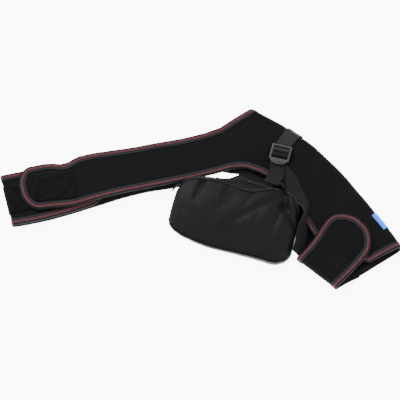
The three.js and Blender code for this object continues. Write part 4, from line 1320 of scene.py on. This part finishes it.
POUCH_FOLDS = named_rows("from to depth width", [
    ((0.33, 0.96), (0.02, 0.5), 0.17, 0.03),
    ((0.36, 0.9), (0.3, 0.2), 0.13, 0.026),
    ((0.36, 0.8), (0.46, 0.66), 0.26, 0.04),
    ((-0.31, 0.97), (-0.33, 0.62), 0.16, 0.024),
    ((-0.06, 0.84), (-0.16, 0.45), 0.07, 0.05),
    ((0.42, 0.5), (0.34, 0.08), 0.07, 0.03),
    ((0.1, 0.97), (0.05, 0.7), 0.05, 0.02),
    ((-0.1, 0.98), (-0.13, 0.75), 0.05, 0.018),
    ((-0.4, 0.4), (-0.2, 0.2), 0.035, 0.03),
    ((-0.05, 0.25), (0.25, 0.12), 0.035, 0.025),
    ((0.18, 0.6), (0.12, 0.15), 0.03, 0.03),
])


def pouch_value(along, column):
    return read_table(POUCH, "along", column, along)


def pouch_point(along, across, height):
    place = pouch_plan.at(along * pouch_length, across * pouch_width)
    return raised(place, height * pouch_depth)


def fold_depth(along, up):
    depth = 0
    place = Vector((along, up * 0.5))
    for fold in POUCH_FOLDS:
        start = Vector((fold["from"][0], fold["from"][1] * 0.5))
        way = Vector((fold["to"][0], fold["to"][1] * 0.5)) - start
        t = clamped((place - start).dot(way) / way.length_squared)
        off = (place - start - way * t).length / fold["width"]
        depth += fold["depth"] * (1 - 0.6 * t) * math.exp(-off * off)
    return depth


def pucker(along, up):
    """Small creases of the slack nylon, run across the panel."""
    inside = math.sin(math.pi * clamped(up)) ** 0.5
    place = Vector((along * 11 + up * 3, up * 4 - along * 3, 0))
    return inside * (noise.noise(place) * 0.014 + noise.noise(place * 2.3) * 0.006)


def front_panel(along, up):
    lift = pouch_value(along, "lift")
    swell = panel_swell * math.sin(math.pi * up) * lift
    height = between(pouch_value(along, "heel"), lift, math.sin(math.pi / 2 * up)) + swell
    across = between(pouch_value(along, "front"), pouch_value(along, "top"), up)
    return pouch_point(along, across, height - fold_depth(along, up) + pucker(along, up))


def gusset_point(along, down):
    across = between(pouch_value(along, "top"), pouch_value(along, "back"), down)
    slope = 1 - gusset_drop * max(down, 0) ** gusset_curve
    height = pouch_value(along, "lift") * slope + gusset_swell * math.sin(math.pi * down)
    return pouch_point(along, across, height)


def pouch_section(along):
    front = pouch_value(along, "front")
    back = pouch_value(along, "back")
    loop = [pouch_point(along, front, 0)]
    loop += [front_panel(along, up) for up in steps(0, 1, panel_cells)]
    loop += [gusset_point(along, down) for down in steps(0, 1, gusset_cells)[1:]]
    loop += [pouch_point(along, back, back_heel), pouch_point(along, back - back_tuck, 0)]
    loop += [pouch_point(along, across, 0) for across in steps(back, front, 6)[1:-1]]
    return loop


def pouch_nylon():
    """Plain-woven nylon with a faint sheen: fine threads, with soft creases between them, their
    hollows painted darker as shade and their ridges painted lighter as highlight.
    """
    finish = Finish("pouch_nylon", roughness=0.5, shine=0.08, sheen=0.008)
    uv, across, along = finish.cloth_place()
    threads = wave(across, 0.0008) * 0.5 + wave(along, 0.0008) * 0.5
    crease_bumps_and_shade = finish.mottle(uv, 45.0, 4.0, (1, 2.2, 1))
    fine = finish.mottle(uv, 1600.0, 1.0)
    # The creases' height also sets the colour: painted shade in their hollows, painted highlight on
    # their ridges.
    tone = threads * 0.5 + fine * 0.3 + crease_bumps_and_shade * 0.3
    finish.dye(tone, (0.0024, 0.0024, 0.0031), (0.0068, 0.007, 0.0084))
    finish.roughness(crease_bumps_and_shade * 0.25 + 0.42)
    finish.bump(threads * 0.12 + crease_bumps_and_shade * 1.2, 0.0012, 0.3)
    return finish.material


def end_rings(ring):
    """Rings that close an end of the pouch, from its middle out."""
    centre = sum(ring, Vector()) / len(ring)
    return [[centre.lerp(p, spread) for p in ring] for spread in end_spreads]


pouch_rows = [pouch_section(-0.5 * math.cos(turn)) for turn in steps(0, math.pi, pouch_cells)]
pouch_rows = end_rings(pouch_rows[0]) + pouch_rows + end_rings(pouch_rows[-1])[::-1]
pouch_rows = [row + [row[0]] for row in pouch_rows]
pouch, _ = cloth_piece("pouch_shell", pouch_rows, 0, pouch_nylon())
pouch.modifiers.clear()
skin = bmesh.new()
skin.from_mesh(pouch.data)
bmesh.ops.remove_doubles(skin, verts=skin.verts, dist=same_place)
bmesh.ops.holes_fill(skin, edges=skin.edges, sides=400)
bmesh.ops.recalc_face_normals(skin, faces=skin.faces)
skin.to_mesh(pouch.data)
skin.free()
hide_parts("pouch_body")

piping_radius = 0.0013
piping_out = 0.0012
piping_cells = 120
piping_from = -0.485
piping_to = 0.48
PIPINGS = named_rows("name node up out", [
    ("top_piping", "pouch_piping_top", 1, upward),
    ("low_piping", "pouch_piping_bottom", 0, raised(-pouch_plan.across, 0)),
])
for row in PIPINGS:
    line = []
    for along in steps(piping_from, piping_to, piping_cells):
        line.append(front_panel(along, row["up"]) + row["out"] * piping_out)
    piping = thread_piece(row["name"], [line], piping_radius, black_thread, 3)
    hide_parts(row["node"])


# Zipper: two black tapes along the gusset with a coil of teeth between them, a moulded slider, its
# pull, and a second pull out at the left end.
zip_from = -0.22
zip_to = 0.23
zip_down = 0.46
zip_width = 0.012
zip_wall = 0.0006
zip_cells = 60
zip_rise = 0.0005
coil_quarters = 419
coil_off = 0.0009
coil_rise = 0.0013
coil_across = 0.0008
coil_height = 0.0006
slider_along = 0.14
pull_back = 0.017
pull_radius = 0.0016


def zip_point(along, off, lift):
    span = max(pouch_value(along, "back") - pouch_value(along, "top"), 0.06)
    down = zip_down + off / pouch_width / span
    place = gusset_point(along, down)
    ahead = gusset_point(along + 0.01, down) - place
    aside = gusset_point(along, down + 0.05) - place
    up = ahead.cross(aside).normalized()
    if up.z < 0:
        up = -up
    return place + up * lift


def zip_cloth():
    finish = Finish("zip_cloth", roughness=0.8, shine=0.1)
    _, across, along = finish.cloth_place()
    twill = wave(across + along, 0.001)
    finish.dye(twill, (0.004, 0.004, 0.005), (0.015, 0.015, 0.017))
    finish.bump(twill, 0.0002, 0.7)
    return finish.material


zip_rows = []
for along in steps(zip_from, zip_to, zip_cells):
    zip_rows.append([zip_point(along, v * zip_width / 2, zip_rise) for v in even_columns(6)])
zip_tape, _ = cloth_piece("zip_tapes", zip_rows, zip_wall, zip_cloth())
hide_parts("zipper_tape")

coil_paths = []
for side in (1, -1):
    path = []
    for i, along in enumerate(steps(zip_from, zip_to, coil_quarters)):
        turn = i * math.pi / 2
        off = side * coil_off + coil_across * math.cos(turn)
        path.append(zip_point(along, off, coil_rise + coil_height * math.sin(turn)))
    coil_paths.append(path)
coil = thread_piece("zip_coil", coil_paths, fine_radius, black_thread)


def zip_frame(along):
    place = zip_point(along, 0, 0)
    run = (zip_point(along + 0.02, 0, 0) - zip_point(along - 0.02, 0, 0)).normalized()
    up = (zip_point(along, 0, 0.001) - place).normalized()
    side = up.cross(run).normalized()
    up = run.cross(side).normalized()
    return Matrix.Translation(place) @ Matrix((run, side, up)).transposed().to_4x4()


zip_plastic = moulded_plastic(
    "zip_plastic", (0.006, 0.006, 0.0072), (0.015, 0.015, 0.017), 0.12
)
SLIDER = named_rows("low high", [
    ((-0.005, -0.004, 0.0011), (0.005, 0.004, 0.0026)),
    ((-0.0035, -0.0028, 0.0026), (0.004, 0.0028, 0.004)),
    ((-0.0035, -0.0011, 0.004), (0.0025, 0.0011, 0.0056)),
])
PULL = named_rows("low high", [
    ((-0.011, -0.0025, 0.0021), (0.011, -0.0009, 0.0037)),
    ((-0.011, 0.0009, 0.0021), (0.011, 0.0025, 0.0037)),
    ((-0.011, -0.0025, 0.0021), (-0.004, 0.0025, 0.0036)),
    ((0.009, -0.0025, 0.0021), (0.011, 0.0025, 0.0036)),
])


def barred_piece(name, node, bars, along, bevel):
    """A moulded piece of boxes at a place along the zipper."""
    shape = bmesh.new()
    for bar in bars:
        solid_bar(shape, bar["low"], bar["high"])
    piece = plastic_piece(name, shape, zip_frame(along), bevel, zip_plastic)
    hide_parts(node)


barred_piece("zip_slider", "zipper_slider", SLIDER, slider_along, 0.0004)
barred_piece("zip_pull", "zipper_pull_right", PULL, slider_along - pull_back / pouch_length, 0.0003)

LEFT_PULL = named_rows("along across height", [
    (-0.487, 0.356, 0.5),
    (-0.512, 0.31, 0.46),
    (-0.532, 0.23, 0.4),
])
left_path = [pouch_point(row["along"], row["across"], row["height"]) for row in LEFT_PULL]
left_pull = thread_piece("left_pull", [left_path], pull_radius, zip_plastic, 3)
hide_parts("zipper_pull_left")
